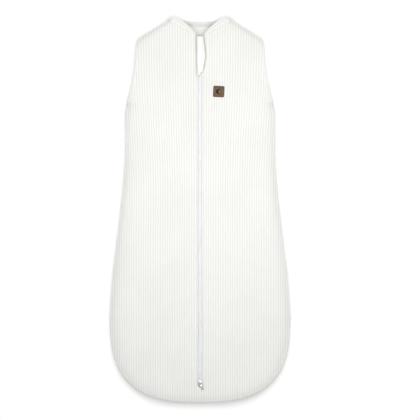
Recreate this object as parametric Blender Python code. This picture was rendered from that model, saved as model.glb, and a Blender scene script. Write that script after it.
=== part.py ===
"""Baby sleeping bag, zipped up and lying flat on its back.

Units are metres. +Y points towards the neck, +Z up and away from the floor, and the origin is the
middle of the box that the bag fills, at floor level. Left and right are as seen by someone who
looks down at the front of the bag, so right is +X.

The bag is a front and a back, each of three layers: a ribbed outer fabric, a wadding and a lining.
A two-way zip runs down the middle of the front. When its top slider is drawn down, the two front
edges fold outwards about straight lines from the neck to the fold's foot on the zip, so each half
of the front is made as a lapel, on the inner side of that line, and a side.
"""

import math

import bmesh
import bpy
from mathutils import Matrix, Vector

# Outline of the laid-out bag: (y, half width) from the collar's seam on the shoulder to the hem's curve.
HALF_WIDTHS = (
    (0.439, 0.076),
    (0.422, 0.104),
    (0.403, 0.134),
    (0.396, 0.143),
    (0.380, 0.148),
    (0.350, 0.148),
    (0.324, 0.151),
    (0.282, 0.158),
    (0.247, 0.169),
    (0.226, 0.174),
    (0.130, 0.174),
    (0.031, 0.181),
    (-0.074, 0.193),
    (-0.144, 0.2015),
    (-0.214, 0.207),
    (-0.250, 0.209),
)
HEM_TOP = -0.250  # the hem's curve starts here
HEM_DEPTH = 0.2005
HEM_HALF_WIDTH = 0.209
HEM_POWER = 2.8  # 2 would be an ellipse
HEM_END_HALF = 0.030  # the flattest stretch of the hem is drawn as one straight edge
ARMPIT = 0.247
SHOULDER_TIP = 0.399

# Rows of points across the bag, from neck to hem.
ROWS = (
    *(0.436, 0.422, 0.410, 0.399, 0.390, 0.350, 0.310, 0.280, 0.257, 0.247, 0.226, 0.130, 0.031),
    *(-0.074, -0.144, -0.200, -0.245, -0.290, -0.330, -0.365, -0.395),
    *(-0.4145, -0.417, -0.434, -0.4440, -0.4487, -0.4505),
)
# How far along each row, from its inner end to the edge of the bag, the points lie.
SIDE_STEPS = (0.0, 0.45, 0.74, 0.89, 0.965, 1.0)
BACK_HALF_STEPS = (0.0, 0.5, 0.78, 0.90, 0.97, 1.0)  # on either side of the middle
LAPEL_STEPS = (0.0, 0.5, 1.0)
COLLAR_STEPS = (0.0, 0.35, 0.7, 1.0)

# Heights
SEAM_Z = 0.009  # where front and back are sewn together
NECK_TOP_Z = 0.030  # the front's surface beside the zip, at the neck
BODY_TOP_Z = 0.046  # and from the fold's foot down
PILLOW_POWER = 7.0  # the higher, the flatter the front before it curves down to its edge
FLAT_BACK = 0.8  # share of the half width over which the back lies on the floor
ARMHOLE_LIFT = 0.030  # the pillow's edge is taken this far outside the armhole, so that it stays open

# Layers
OUTER = 0.0012
WADDING = 0.005
LINING = 0.0008
GAP = 0.0003
SQUEEZE = 0.12  # the wadding thins over this last share of the half width
THINNEST = 0.15  # down to this share of its thickness

# Zip. Heights are measured from the front's surface beside the zip.
SLIT_HALF = 0.006
SLIT_END = -0.4145
TAPE_TOP = -0.0022
TAPE = 0.0008
TAPE_INNER, TAPE_OUTER = 0.0009, 0.015
COIL_OUTER = 0.0032
COIL_BOTTOM, COIL_TOP = -0.0019, -0.0001
TAPE_ENDS = (-0.4135, 0.4015)
COIL_ENDS = (-0.4095, 0.395)
STOP_LENGTH = 0.003
FROM_ZIP = {"outer": SLIT_HALF, "wadding": 0.016, "lining": 0.008}  # each layer's edge along the zip
NARROWEST_LAPEL = 0.0015

# Fold of each lapel: its foot on the zip and its head at the shoulder end of the collar.
FOLD_FOOT = Vector((0.009, -0.245))
FOLD_HEAD = Vector((0.073, 0.441))

# Collar: points of its seam with the front and of its free edge, from the shoulder to the zip.
COLLAR_SEAM = ((0.0718, 0.4375), (0.060, 0.4335), (0.0447, 0.4250), (0.0255, 0.4135), (0.0095, 0.4040))
COLLAR_EDGE = ((0.0668, 0.4490), (0.052, 0.4440), (0.0370, 0.4355), (0.0190, 0.4195), (0.0088, 0.4082))
COLLAR_RISE = 0.0008
COLLAR_DEPTH = 0.0085
COLLAR_ROLL = 0.0015
BACK_NECK_Y = 0.424  # the back's neckline in the middle
BACK_COLLAR_WIDTH = 0.0122
BACK_COLLAR_NARROWING = 0.93  # its free edge is this much shorter than its seam
COLLAR_HALF = 0.076
BACK_COLLAR_STEP = (0.0731, 0.0727)  # it drops between these, outside the end of the front collar
BACK_NECK_RISE = 0.014  # from the middle of the back's neckline to the shoulder
BACK_COLLAR_HEIGHT = 0.0082

# Armhole binding
BINDING_WIDTH = 0.003
BINDING_ENDS = (0.2585, 0.3885)
BINDING_LIP = 0.0002  # how far it stands above the outer fabric
BINDING_OVERRUN = 0.006  # how far it runs past the opening at either end
BINDING_STEPS = 6
BINDING_CLEARANCE = 0.002  # the fabrics step back from the edge this far past the binding's ends

# Guard flap over the top of the zip: (y, left edge, right edge)
FLAP_ROWS = (
    (0.4025, -0.0080, 0.0084),
    (0.382, -0.0078, 0.0106),
    (0.357, -0.0073, 0.0138),
    (0.340, -0.0069, 0.0108),
    (0.323, -0.0063, 0.0068),
    (0.315, -0.0060, 0.0012),
    (0.309, -0.0057, -0.0035),
)
FLAP_STEPS = (0.0, 0.12, 0.24, 0.5, 0.75, 1.0)
FLAP_THICKNESS = 0.0022
FLAP_SEAM_LIFT = 0.0005
FLAP_HUMP = 0.0055  # room under it for the slider and its pull
FLAP_HUMP_START = 0.003  # distance from the sewn edge at which the hump is full

# Sliders and pulls, in their own frame: y = 0 at the middle of the bridge, z = 0 at the front's surface
SLIDER_LENGTH = 0.011
SLIDER_HALF = 0.0046
SLIDER_TAIL_HALF = 0.0040
SLIDER_NOSE_HALF = 0.0037
SLIDER_WIDEST = 0.2  # share of the half length, towards the nose
RIM_SPAN = (-0.9, 0.1)  # shares of the half length, towards the nose
TOP_PLATE = (0.0003, 0.0012)
BOTTOM_PLATE = (-0.0044, -0.0034)
RIM_BOTTOM = -0.0018
RIM_WIDTH = 0.0008
POST_HALF = 0.0005
POST_LENGTH = 0.002
POST_INSET = 0.0004
BRIDGE_HALF_WIDTH = 0.0008
BRIDGE_HALF_LENGTH = 0.0038
BRIDGE_LEG = 0.0008
BRIDGE_UNDER, BRIDGE_TOP = 0.0029, 0.0037
OVERLAP = 0.0002  # by which solids that become one are let into each other
PULL_AXIS_Z = 0.0021
PULL_LENGTH = 0.0165
PULL_THICKNESS = 0.001
PULL_EYE_HALF = 0.0041
PULL_TIP_HALF = 0.0028
PULL_WINDOW_HALF = 0.0027
PULL_WINDOW_END = 0.0050
PULL_BAR_HALF = 0.0005
PULL_CHAMFER = 0.001
TOP_SLIDER_Y = 0.389
BOTTOM_SLIDER_Y = -0.4045
BOTTOM_PULL_SKEW = math.radians(24)  # it lies a little to the right of straight down

# Leather patch on the right lapel
PATCH_CENTRE = Vector((0.0440, 0.2735))
PATCH_SIZE = 0.026
PATCH_TURN = math.radians(-2.5)
PATCH_THICKNESS = 0.0014
STITCH_SIZE = 0.0225
STITCH_WIDTH = 0.0006
STITCH_HEIGHT = 0.0004
MOON_RADIUS = 0.0062
MOON_BITE_RADIUS = 0.0053
MOON_BITE_OFFSET = 0.0030
MOON_POINTS = 14
EMBLEM_HEIGHT = 0.0003


# Shape of the bag


def steady(points, y):
    """Value at y of a smooth curve through (y, value) points that run down in y."""
    i = 0
    while i < len(points) - 2 and y < points[i + 1][0]:
        i += 1
    (y0, v0), (y1, v1) = points[i], points[i + 1]
    before, after = points[max(i - 1, 0)], points[min(i + 2, len(points) - 1)]
    slope0 = (v1 - before[1]) / (y1 - before[0])
    slope1 = (after[1] - v0) / (after[0] - y0)
    span = y1 - y0
    t = min(max((y - y0) / span, 0.0), 1.0)
    return (
        v0 * (1 + 2 * t) * (1 - t) ** 2
        + v1 * t * t * (3 - 2 * t)
        + slope0 * span * t * (1 - t) ** 2
        - slope1 * span * t * t * (1 - t)
    )


def half_width(y):
    """Half the width of the laid-out bag at y."""
    if y >= HEM_TOP:
        return steady(HALF_WIDTHS, y)
    down = min((HEM_TOP - y) / HEM_DEPTH, 1.0)
    return max(HEM_HALF_WIDTH * (1 - down**HEM_POWER) ** (1 / HEM_POWER), HEM_END_HALF)


def outwardness(x, y):
    """0 on the middle line and 1 on the edge where front and back meet."""
    if y >= HEM_TOP:
        lift = 0.0
        if ARMPIT < y < SHOULDER_TIP:
            lift = ARMHOLE_LIFT * math.sin(math.pi * (y - ARMPIT) / (SHOULDER_TIP - ARMPIT))
        return min(abs(x) / (half_width(y) + lift), 1.0)
    across = (abs(x) / HEM_HALF_WIDTH) ** HEM_POWER
    down = ((HEM_TOP - y) / HEM_DEPTH) ** HEM_POWER
    return min((across + down) ** (1 / HEM_POWER), 1.0)


def pillow(out):
    """1 in the middle, curving down to 0 on the edge."""
    return math.sqrt(max(1 - out**PILLOW_POWER, 0.0))


def zip_line(y):
    """Height of the front's surface beside the zip: it rises from the neck to the fold's foot."""
    share = min(max((FOLD_HEAD.y - y) / (FOLD_HEAD.y - FOLD_FOOT.y), 0.0), 1.0)
    return NECK_TOP_Z + (BODY_TOP_Z - NECK_TOP_Z) * share


def front_z(x, y):
    """Height of the front's outer surface."""
    edge = SEAM_Z + GAP / 2 + OUTER
    beside_zip = pillow(outwardness(0.0, max(y, SLIT_END)))
    return edge + (zip_line(y) - edge) * min(pillow(outwardness(x, y)) / beside_zip, 1.0)


def back_z(x, y):
    """Height of the back's outer surface, which lies on the floor in the middle."""
    edge = SEAM_Z - GAP / 2 - OUTER
    rise = max((outwardness(x, y) - FLAT_BACK) / (1 - FLAT_BACK), 0.0)
    return edge * (1 - math.sqrt(max(1 - rise * rise, 0.0)))


def wadding_at(x, y):
    """Thickness of the wadding, which the seams squeeze."""
    return WADDING * min(max((1 - outwardness(x, y)) / SQUEEZE, THINNEST), 1.0)


def layer(surface, side, kind):
    """Upper and lower height functions of one layer, under the front (side -1) or over the back (+1)."""

    def depth(x, y, below):
        wadding = wadding_at(x, y)
        stack = {
            "outer": (0.0, OUTER),
            "wadding": (OUTER + GAP, OUTER + GAP + wadding),
            "lining": (OUTER + 2 * GAP + wadding, OUTER + 2 * GAP + wadding + LINING),
        }
        return surface(x, y) + side * stack[kind][below]

    near, far = (lambda x, y: depth(x, y, 0)), (lambda x, y: depth(x, y, 1))
    return (near, far) if side < 0 else (far, near)


def fold_x(y):
    """Distance of the lapel's fold from the middle line."""
    share = (y - FOLD_FOOT.y) / (FOLD_HEAD.y - FOLD_FOOT.y)
    return FOLD_FOOT.x + (FOLD_HEAD.x - FOLD_FOOT.x) * share


def neckline_x(y):
    """Distance of the front's neckline from the middle line."""
    return steady([(py, px) for px, py in COLLAR_SEAM], y) + GAP


def edge_x(y):
    """Outer end of a row: the seam, or inside the binding along the armhole."""
    low, high = BINDING_ENDS
    beside_binding = low - BINDING_CLEARANCE < y < high + BINDING_CLEARANCE
    return half_width(y) - (BINDING_WIDTH + GAP if beside_binding else 0.0)


def back_neck_y(x):
    """The back's neckline, where its collar is sewn on."""
    return BACK_NECK_Y + BACK_NECK_RISE * (x / COLLAR_HALF) ** 2


# Mesh helpers


def material(name, colour, roughness, metallic=0.0):
    made = bpy.data.materials.new(name)
    made.use_nodes = True
    shader = made.node_tree.nodes["Principled BSDF"]
    shader.inputs["Base Color"].default_value = (*colour, 1.0)
    shader.inputs["Roughness"].default_value = roughness
    shader.inputs["Metallic"].default_value = metallic
    return made


def piece(name, points, faces, look):
    """An object from points and faces, with its normals made to point out."""
    mesh = bpy.data.meshes.new(name)
    mesh.from_pydata(points, [], faces)
    bm = bmesh.new()
    bm.from_mesh(mesh)
    bmesh.ops.recalc_face_normals(bm, faces=bm.faces)
    bm.to_mesh(mesh)
    bm.free()
    mesh.shade_smooth()
    mesh.set_sharp_from_angle(angle=math.radians(35))
    made = bpy.data.objects.new(name, mesh)
    mesh.materials.append(look)
    bpy.context.collection.objects.link(made)
    return made


def spread(start, end, steps):
    """Points (x, y) on the way from start to end."""
    return [tuple(a + (b - a) * step for a, b in zip(start, end)) for step in steps]


def panel(name, rows, top, bottom, look):
    """A closed panel between two height functions, over rows of points (x, y)."""
    count = len(rows[0])
    points = [(x, y, height(x, y)) for height in (top, bottom) for row in rows for x, y in row]
    below = len(rows) * count
    faces = []
    for row in range(len(rows) - 1):
        for i in range(count - 1):
            a, b = row * count + i, row * count + i + 1
            c, d = b + count, a + count
            faces += [(a, b, c), (a, c, d)]
            faces += [(a + below, c + below, b + below), (a + below, d + below, c + below)]
    rim = [row * count for row in range(len(rows))]
    rim += [(len(rows) - 1) * count + i for i in range(1, count)]
    rim += [row * count + count - 1 for row in range(len(rows) - 2, -1, -1)]
    rim += [i for i in range(count - 2, 0, -1)]
    for a, b in zip(rim, rim[1:] + rim[:1]):
        faces.append((a, b, b + below, a + below))
    return piece(name, points, faces, look)


def level(height):
    """A height function that gives the same height everywhere."""
    return lambda x, y: height


def prism(name, outline, bottom, top, look):
    """A flat outline of (x, y) points, raised between two height functions."""
    count = len(outline)
    points = [(x, y, height(x, y)) for height in (bottom, top) for x, y in outline]
    faces = [tuple(range(count - 1, -1, -1)), tuple(range(count, 2 * count))]
    faces += [(i, (i + 1) % count, (i + 1) % count + count, i + count) for i in range(count)]
    return piece(name, points, faces, look)


def box(low_x, high_x, low_y, high_y):
    return [(low_x, low_y), (high_x, low_y), (high_x, high_y), (low_x, high_y)]


def ring(name, loops, look):
    """A closed ring over four loops of points: outer and inner at one level, then at the other."""
    count = len(loops[0])
    points = [point for loop in loops for point in loop]
    starts = (0, count, 3 * count, 2 * count)
    faces = []
    for i in range(count):
        j = (i + 1) % count
        for a, b in zip(starts, starts[1:] + starts[:1]):
            faces.append((a + i, a + j, b + j, b + i))
    return piece(name, points, faces, look)


def frame_ring(name, outer, inner, bottom, top, look):
    """A flat ring between two outlines with the same number of points."""
    loops = [[(x, y, z(x, y)) for x, y in loop] for z in (bottom, top) for loop in (outer, inner)]
    return ring(name, loops, look)


def united(base, others):
    """Base with the other closed solids joined to it, which are then left out."""
    for other in others:
        join = base.modifiers.new("join_" + other.name, "BOOLEAN")
        join.operation = "UNION"
        join.object = other
        other.hide_render = True
        other.display_type = "WIRE"
    return base


def mirrored(points, side):
    return [(side * x, y) for x, y in points]


# Body of the bag


def make_back(looks):
    steps = [-step for step in BACK_HALF_STEPS[:0:-1]] + list(BACK_HALF_STEPS)
    for kind in ("outer", "wadding", "lining"):
        whole = kind == "outer"
        shares = steps if whole else steps[1:-1]
        rows = [[(COLLAR_HALF * share, back_neck_y(COLLAR_HALF * share)) for share in shares]]
        for y in ROWS[2:] if whole else ROWS[2:-2]:
            rows.append([(edge_x(y) * share, y) for share in shares])
        top, bottom = layer(back_z, 1, kind)
        panel(f"back_{kind}", rows, top, bottom, looks[kind])


def make_front_side(word, side, looks):
    """The part of the front half that stays put when the zip opens."""

    def inner_x(y, limit):
        return GAP / 2 if y < SLIT_END else max(fold_x(y) + GAP / 2, limit)

    for kind, limit in FROM_ZIP.items():
        whole = kind == "outer"
        rows = []
        for y in ROWS if whole else ROWS[1:-2]:
            # Past the first point, all layers have their points at the same places, so they nest.
            steps = SIDE_STEPS if whole else SIDE_STEPS[:-1]
            row = spread((inner_x(y, SLIT_HALF), y), (edge_x(y), y), steps)
            row[0] = (inner_x(y, limit), y)
            rows.append(mirrored(row, side))
        top, bottom = layer(front_z, -1, kind)
        panel(f"{word}_side_{kind}", rows, top, bottom, looks[kind])


def make_lapel(word, side, looks):
    """The part of the front half that folds back when the zip opens."""
    for kind, limit in FROM_ZIP.items():
        rows = []
        for y in [y for y in ROWS if y >= FOLD_FOOT.y]:
            start = max(neckline_x(y) if y > COLLAR_SEAM[-1][1] else 0.0, limit)
            end = fold_x(y) - GAP / 2
            if end - start > NARROWEST_LAPEL:
                rows.append(mirrored(spread((start, y), (end, y), LAPEL_STEPS), side))
        top, bottom = layer(front_z, -1, kind)
        panel(f"{word}_lapel_{kind}", rows, top, bottom, looks[kind])


# Collar and bindings


def make_front_collar(word, side, look):
    """One side of the collar, a soft roll along the front's neckline."""

    def across(x, y):
        """0 on the collar's seam and 1 on its free edge, at the point's distance from the middle."""
        seam = steady(COLLAR_SEAM, abs(x))
        edge = steady(COLLAR_EDGE, abs(x))
        return min(max((y - seam) / (edge - seam), 0.0), 1.0)

    def top(x, y):
        return front_z(x, y) + COLLAR_RISE + COLLAR_ROLL * math.sin(math.pi * across(x, y))

    ends = zip(mirrored(COLLAR_SEAM, side), mirrored(COLLAR_EDGE, side))
    rows = [spread(seam, edge, COLLAR_STEPS) for seam, edge in ends]
    return panel(f"{word}_collar", rows, top, lambda x, y: top(x, y) - COLLAR_DEPTH, look)


def make_back_collar(look):
    """The collar behind the neck, from shoulder to shoulder."""
    xs = [COLLAR_HALF, *BACK_COLLAR_STEP]
    xs += [COLLAR_HALF * step for step in BACK_HALF_STEPS[3::-1]]
    xs += [-x for x in xs[-2::-1]]

    def top(x, y):
        if abs(x) > sum(BACK_COLLAR_STEP) / 2:
            return max(front_z(x, min(y, ROWS[0])), SEAM_Z + OUTER) + COLLAR_RISE
        return back_z(x, min(y, ROWS[0])) + BACK_COLLAR_HEIGHT

    def bottom(x, y):
        return back_z(x, min(y, ROWS[0]))

    rows = []
    for x in xs:
        seam = (x, back_neck_y(x) + GAP)
        free_edge = (x * BACK_COLLAR_NARROWING, seam[1] + BACK_COLLAR_WIDTH)
        rows.append(spread(seam, free_edge, COLLAR_STEPS))
    return panel("back_collar", rows, top, bottom, look)


def make_binding(word, side, look):
    """A band sewn round the armhole: a ring seen from the side, bent to follow the outline."""
    low, high = BINDING_ENDS
    ys = [low + (high - low) * i / BINDING_STEPS for i in range(BINDING_STEPS + 1)]
    stack = 2 * GAP + OUTER + WADDING + LINING + BINDING_LIP

    def front(y):
        return front_z(half_width(y) - BINDING_WIDTH / 2, y) + BINDING_LIP

    def back(y):
        return back_z(half_width(y) - BINDING_WIDTH / 2, y)

    def middle(y):
        return (front(y) + back(y)) / 2

    outer = [(y, front(y)) for y in ys] + [(y, back(y)) for y in reversed(ys)]
    ys = [min(max(y, low + BINDING_OVERRUN), high - BINDING_OVERRUN) for y in ys]
    inner = [(y, max(front(y) - stack, middle(y) + GAP)) for y in ys]
    inner += [(y, min(back(y) + stack, middle(y) - GAP)) for y in reversed(ys)]
    loops = []
    for inset in (0.0, BINDING_WIDTH):
        for loop in (outer, inner):
            loops.append([(side * (half_width(y) - inset), y, z) for y, z in loop])
    return ring(f"{word}_armhole_binding", loops, look)


# Zip


def beside_zip(offset):
    return lambda x, y: zip_line(y) + offset


def make_zip_side(word, side, looks):
    """Tape, coil and stops of one side, in an upper part on the lapel and a lower part on the bag."""
    foot = FOLD_FOOT.y
    tape_rows = {
        "upper": [TAPE_ENDS[1], -0.170, foot + GAP / 2],
        "lower": [foot - GAP / 2, TAPE_ENDS[0]],
    }
    for part, ys in tape_rows.items():
        rows = []
        for y in ys:
            outer = min(TAPE_OUTER, fold_x(y) - GAP) if part == "upper" else TAPE_OUTER
            rows.append([(side * TAPE_INNER, y), (side * outer, y)])
        name = f"{word}_{part}_tape"
        panel(name, rows, beside_zip(TAPE_TOP), beside_zip(TAPE_TOP - TAPE), looks["tape"])
    coil_rows = {
        "upper": [COIL_ENDS[1], foot + GAP / 2],
        "lower": [foot - GAP / 2, COIL_ENDS[0]],
    }
    for part, ys in coil_rows.items():
        rows = [[(side * TAPE_INNER, y), (side * COIL_OUTER, y)] for y in ys]
        name = f"{word}_{part}_coil"
        panel(name, rows, beside_zip(COIL_TOP), beside_zip(COIL_BOTTOM), looks["coil"])
    stops = {
        "top": (COIL_ENDS[1] + GAP, COIL_ENDS[1] + GAP + STOP_LENGTH),
        "bottom": (COIL_ENDS[0] - GAP - STOP_LENGTH, COIL_ENDS[0] - GAP),
    }
    for part, ys in stops.items():
        rows = [[(side * TAPE_INNER, y), (side * COIL_OUTER, y)] for y in ys]
        name = f"{word}_{part}_stop"
        panel(name, rows, beside_zip(COIL_TOP), beside_zip(COIL_BOTTOM), looks["metal"])


def make_slider(name, y, outward, look):
    """Two plates round the coils, joined by a post at the outward end, with a bridge for the pull."""
    half = SLIDER_LENGTH / 2
    tail = -outward * half
    widest = outward * half * SLIDER_WIDEST
    outline = [
        (-SLIDER_TAIL_HALF, tail),
        (SLIDER_TAIL_HALF, tail),
        (SLIDER_HALF, widest),
        (SLIDER_NOSE_HALF, outward * half),
        (-SLIDER_NOSE_HALF, outward * half),
        (-SLIDER_HALF, widest),
    ]

    def block(part, outline, heights):
        return prism(f"{name}{part}", outline, *map(level, heights), look)

    body = block("", outline, TOP_PLATE)
    post_end = outward * (half - POST_INSET)
    post_outline = box(-POST_HALF, POST_HALF, *sorted((post_end, post_end - outward * POST_LENGTH)))
    bar_outline = box(-BRIDGE_HALF_WIDTH, BRIDGE_HALF_WIDTH, -BRIDGE_HALF_LENGTH, BRIDGE_HALF_LENGTH)
    helpers = [
        block("_bottom_plate", outline, BOTTOM_PLATE),
        block("_post", post_outline, (BOTTOM_PLATE[1] - OVERLAP, TOP_PLATE[0] + OVERLAP)),
        block("_bar", bar_outline, (BRIDGE_UNDER, BRIDGE_TOP)),
    ]
    rim_ys = sorted(outward * half * share for share in RIM_SPAN)
    for side in (-1, 1):
        rim_xs = sorted((side * SLIDER_TAIL_HALF, side * (SLIDER_TAIL_HALF - RIM_WIDTH / 2)))
        rim_heights = (RIM_BOTTOM, TOP_PLATE[0] + OVERLAP)
        helpers.append(block(f"_rim_{side}", box(*rim_xs, *rim_ys), rim_heights))
        leg_ys = sorted((side * BRIDGE_HALF_LENGTH, side * (BRIDGE_HALF_LENGTH - BRIDGE_LEG)))
        leg_outline = box(-BRIDGE_HALF_WIDTH, BRIDGE_HALF_WIDTH, *leg_ys)
        helpers.append(block(f"_leg_{side}", leg_outline, (TOP_PLATE[1] - OVERLAP, BRIDGE_UNDER + OVERLAP)))
    for part in (body, *helpers):
        part.location = (0.0, y, zip_line(y))
        part.rotation_euler.x = zip_slope(y)
    return united(body, helpers)


def zip_slope(y):
    step = 0.001
    return math.atan2(zip_line(y + step) - zip_line(y - step), 2 * step)


def make_pull(name, slider_y, skew, look):
    """A flat tab whose eye goes round the slider's bridge. Its origin is on the axis it swings about."""
    neck = -PULL_WINDOW_END
    outer = [
        (-PULL_EYE_HALF, PULL_BAR_HALF),
        (PULL_EYE_HALF, PULL_BAR_HALF),
        (PULL_EYE_HALF, neck - PULL_CHAMFER),
        (PULL_TIP_HALF, -PULL_LENGTH),
        (-PULL_TIP_HALF, -PULL_LENGTH),
        (-PULL_EYE_HALF, neck - PULL_CHAMFER),
    ]
    inner = [
        (-PULL_WINDOW_HALF, -PULL_BAR_HALF),
        (PULL_WINDOW_HALF, -PULL_BAR_HALF),
        (PULL_WINDOW_HALF, neck + PULL_CHAMFER),
        (PULL_WINDOW_HALF - PULL_CHAMFER, neck),
        (-PULL_WINDOW_HALF + PULL_CHAMFER, neck),
        (-PULL_WINDOW_HALF, neck + PULL_CHAMFER),
    ]
    made = frame_ring(name, outer, inner, level(-PULL_THICKNESS / 2), level(PULL_THICKNESS / 2), look)
    place = Matrix.Translation((0.0, slider_y, zip_line(slider_y)))
    slope = Matrix.Rotation(zip_slope(slider_y), 4, "X")
    axis = Matrix.Translation((0.0, 0.0, PULL_AXIS_Z))
    made.matrix_world = place @ slope @ axis @ Matrix.Rotation(skew, 4, "Z")
    return made


# Flap and patch


def make_flap(look):
    """The flap that covers the top slider. It is sewn along its left edge."""

    def bottom(x, y):
        left = steady([(row[0], row[1]) for row in FLAP_ROWS], y)
        share = min(max((x - left) / FLAP_HUMP_START, 0.0), 1.0)
        hump = FLAP_SEAM_LIFT + (FLAP_HUMP - FLAP_SEAM_LIFT) * share * share * (3 - 2 * share)
        return zip_line(y) + hump

    rows = [spread((left, y), (right, y), FLAP_STEPS) for y, left, right in FLAP_ROWS]
    return panel("zip_guard_flap", rows, lambda x, y: bottom(x, y) + FLAP_THICKNESS, bottom, look)


def turned_square(size):
    turn = Matrix.Rotation(PATCH_TURN, 2)
    half = size / 2
    corners = ((-half, -half), (half, -half), (half, half), (-half, half))
    return [tuple(PATCH_CENTRE + turn @ Vector(corner)) for corner in corners]


def over_front(offset):
    return lambda x, y: front_z(x, y) + offset


def moon_outline():
    """A crescent: an arc of the disc, and back along an arc of the disc that bites it."""
    reach = (MOON_RADIUS**2 - MOON_BITE_RADIUS**2 + MOON_BITE_OFFSET**2) / (2 * MOON_BITE_OFFSET)
    horn = math.acos(reach / MOON_RADIUS)
    bite_horn = math.acos((reach - MOON_BITE_OFFSET) / MOON_BITE_RADIUS)
    arc = []
    for i in range(MOON_POINTS + 1):
        angle = horn + (2 * math.pi - 2 * horn) * i / MOON_POINTS
        arc.append(Vector((MOON_RADIUS * math.cos(angle), MOON_RADIUS * math.sin(angle))))
    for i in range(1, MOON_POINTS):
        angle = 2 * math.pi - bite_horn - (2 * math.pi - 2 * bite_horn) * i / MOON_POINTS
        bite = Vector((math.cos(angle), math.sin(angle))) * MOON_BITE_RADIUS
        arc.append(bite + Vector((MOON_BITE_OFFSET, 0.0)))
    return [tuple(PATCH_CENTRE + point) for point in arc]


def make_patch(looks):
    """A square of leather with a stitched border and a moon pressed on it."""
    leather_top = GAP + PATCH_THICKNESS
    square = turned_square(PATCH_SIZE)
    prism("leather_patch", square, over_front(GAP), over_front(leather_top), looks["leather"])
    base = leather_top + GAP
    outer, inner = turned_square(STITCH_SIZE), turned_square(STITCH_SIZE - 2 * STITCH_WIDTH)
    stitch_top = over_front(base + STITCH_HEIGHT)
    frame_ring("patch_stitching", outer, inner, over_front(base), stitch_top, looks["thread"])
    emblem_top = over_front(base + EMBLEM_HEIGHT)
    prism("patch_emblem", moon_outline(), over_front(base), emblem_top, looks["emblem"])


def main():
    for old in list(bpy.data.objects):
        bpy.data.objects.remove(old, do_unlink=True)
    looks = {
        "outer": material("ribbed_fabric", (0.86, 0.87, 0.82), 0.9),
        "wadding": material("wadding", (0.90, 0.90, 0.90), 1.0),
        "lining": material("lining_fabric", (0.84, 0.85, 0.80), 0.85),
        "collar": material("collar_fabric", (0.88, 0.89, 0.83), 0.85),
        "tape": material("zip_tape", (0.84, 0.88, 0.90), 0.8),
        "coil": material("zip_coil", (0.88, 0.92, 0.95), 0.35),
        "metal": material("white_metal", (0.82, 0.83, 0.84), 0.3, 1.0),
        "leather": material("brown_leather", (0.27, 0.21, 0.15), 0.6),
        "thread": material("dark_thread", (0.10, 0.07, 0.05), 0.8),
        "emblem": material("pressed_emblem", (0.06, 0.04, 0.03), 0.6),
    }
    make_back(looks)
    make_back_collar(looks["collar"])
    for word, side in (("left", -1), ("right", 1)):
        make_front_side(word, side, looks)
        make_lapel(word, side, looks)
        make_front_collar(word, side, looks["collar"])
        make_binding(word, side, looks["collar"])
        make_zip_side(word, side, looks)
    make_flap(looks["collar"])
    make_patch(looks)
    make_slider("top_slider", TOP_SLIDER_Y, 1, looks["metal"])
    make_pull("top_pull", TOP_SLIDER_Y, 0.0, looks["metal"])
    make_slider("bottom_slider", BOTTOM_SLIDER_Y, -1, looks["metal"])
    make_pull("bottom_pull", BOTTOM_SLIDER_Y, BOTTOM_PULL_SKEW, looks["metal"])


main()
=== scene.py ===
"""Looks of a baby sleeping bag that lies flat on its back: its cloths, zip, guard flap and patch.

Metres: +Y towards the neck, +Z up from the floor, +X on the right of someone who looks down at the
front. The shape functions are the solids' own, so that each cloth lies where its solid does, but
here they work on whole arrays of points.
"""

import math

import bmesh
import bpy
import numpy as np
from mathutils import Matrix, Vector


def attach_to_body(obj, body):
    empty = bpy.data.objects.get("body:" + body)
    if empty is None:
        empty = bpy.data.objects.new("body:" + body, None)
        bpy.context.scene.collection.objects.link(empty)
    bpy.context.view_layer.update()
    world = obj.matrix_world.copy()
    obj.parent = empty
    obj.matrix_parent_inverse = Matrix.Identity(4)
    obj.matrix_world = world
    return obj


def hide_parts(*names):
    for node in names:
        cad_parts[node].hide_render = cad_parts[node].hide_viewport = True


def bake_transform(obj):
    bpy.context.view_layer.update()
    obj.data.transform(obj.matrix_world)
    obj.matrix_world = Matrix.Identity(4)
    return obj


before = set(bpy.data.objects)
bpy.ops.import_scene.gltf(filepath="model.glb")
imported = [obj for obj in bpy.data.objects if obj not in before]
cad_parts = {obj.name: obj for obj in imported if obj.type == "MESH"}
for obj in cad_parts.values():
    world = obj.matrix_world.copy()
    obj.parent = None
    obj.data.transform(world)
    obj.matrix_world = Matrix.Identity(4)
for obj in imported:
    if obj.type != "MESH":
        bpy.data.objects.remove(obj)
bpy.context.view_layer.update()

# Outline: (y, half width) from the collar's seam on the shoulder to the hem's curve
HALF_WIDTHS = (
    (0.439, 0.076), (0.422, 0.104), (0.403, 0.134), (0.396, 0.143), (0.380, 0.148), (0.350, 0.148),
    (0.324, 0.151), (0.282, 0.158), (0.247, 0.169), (0.226, 0.174), (0.130, 0.174), (0.031, 0.181),
    (-0.074, 0.193), (-0.144, 0.2015), (-0.214, 0.207), (-0.250, 0.209),
)
HEM_TOP = -0.250
HEM_DEPTH = 0.2005
HEM_HALF_WIDTH = 0.209
HEM_POWER = 2.8
HEM_END_HALF = 0.030
HEM_END = -0.4505
ARMPIT = 0.247
SHOULDER_TIP = 0.399
SHOULDER_END = 0.4385  # where the shoulder meets the collar

# Heights
SEAM_Z = 0.009
SEAM_GAP = 0.00004  # between the front's edge and the back's, all round the seam
NECK_TOP_Z = 0.030
BODY_TOP_Z = 0.046
TOP_LINE_ENDS = (0.441, -0.245)  # between these the top rises from the one height to the other
PILLOW_POWER = 12.0
HEM_PILLOW_POWER = 17.0
CLOTH_PUFF = 0.0012  # how far the soft cloth stands out past the solids' outline
FLAT_BACK = 0.8
NECK_PUFF = 0.006  # of the back's wadding behind the neck opening
SLIT_END_ROUNDING = 0.02  # over this length the level of the zip turns down into the hem
ARMHOLE_LIFT = 0.030
OUTER = 0.0012
STACK = 0.0076  # outer fabric, wadding and lining together
GAP = 0.0003

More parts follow.
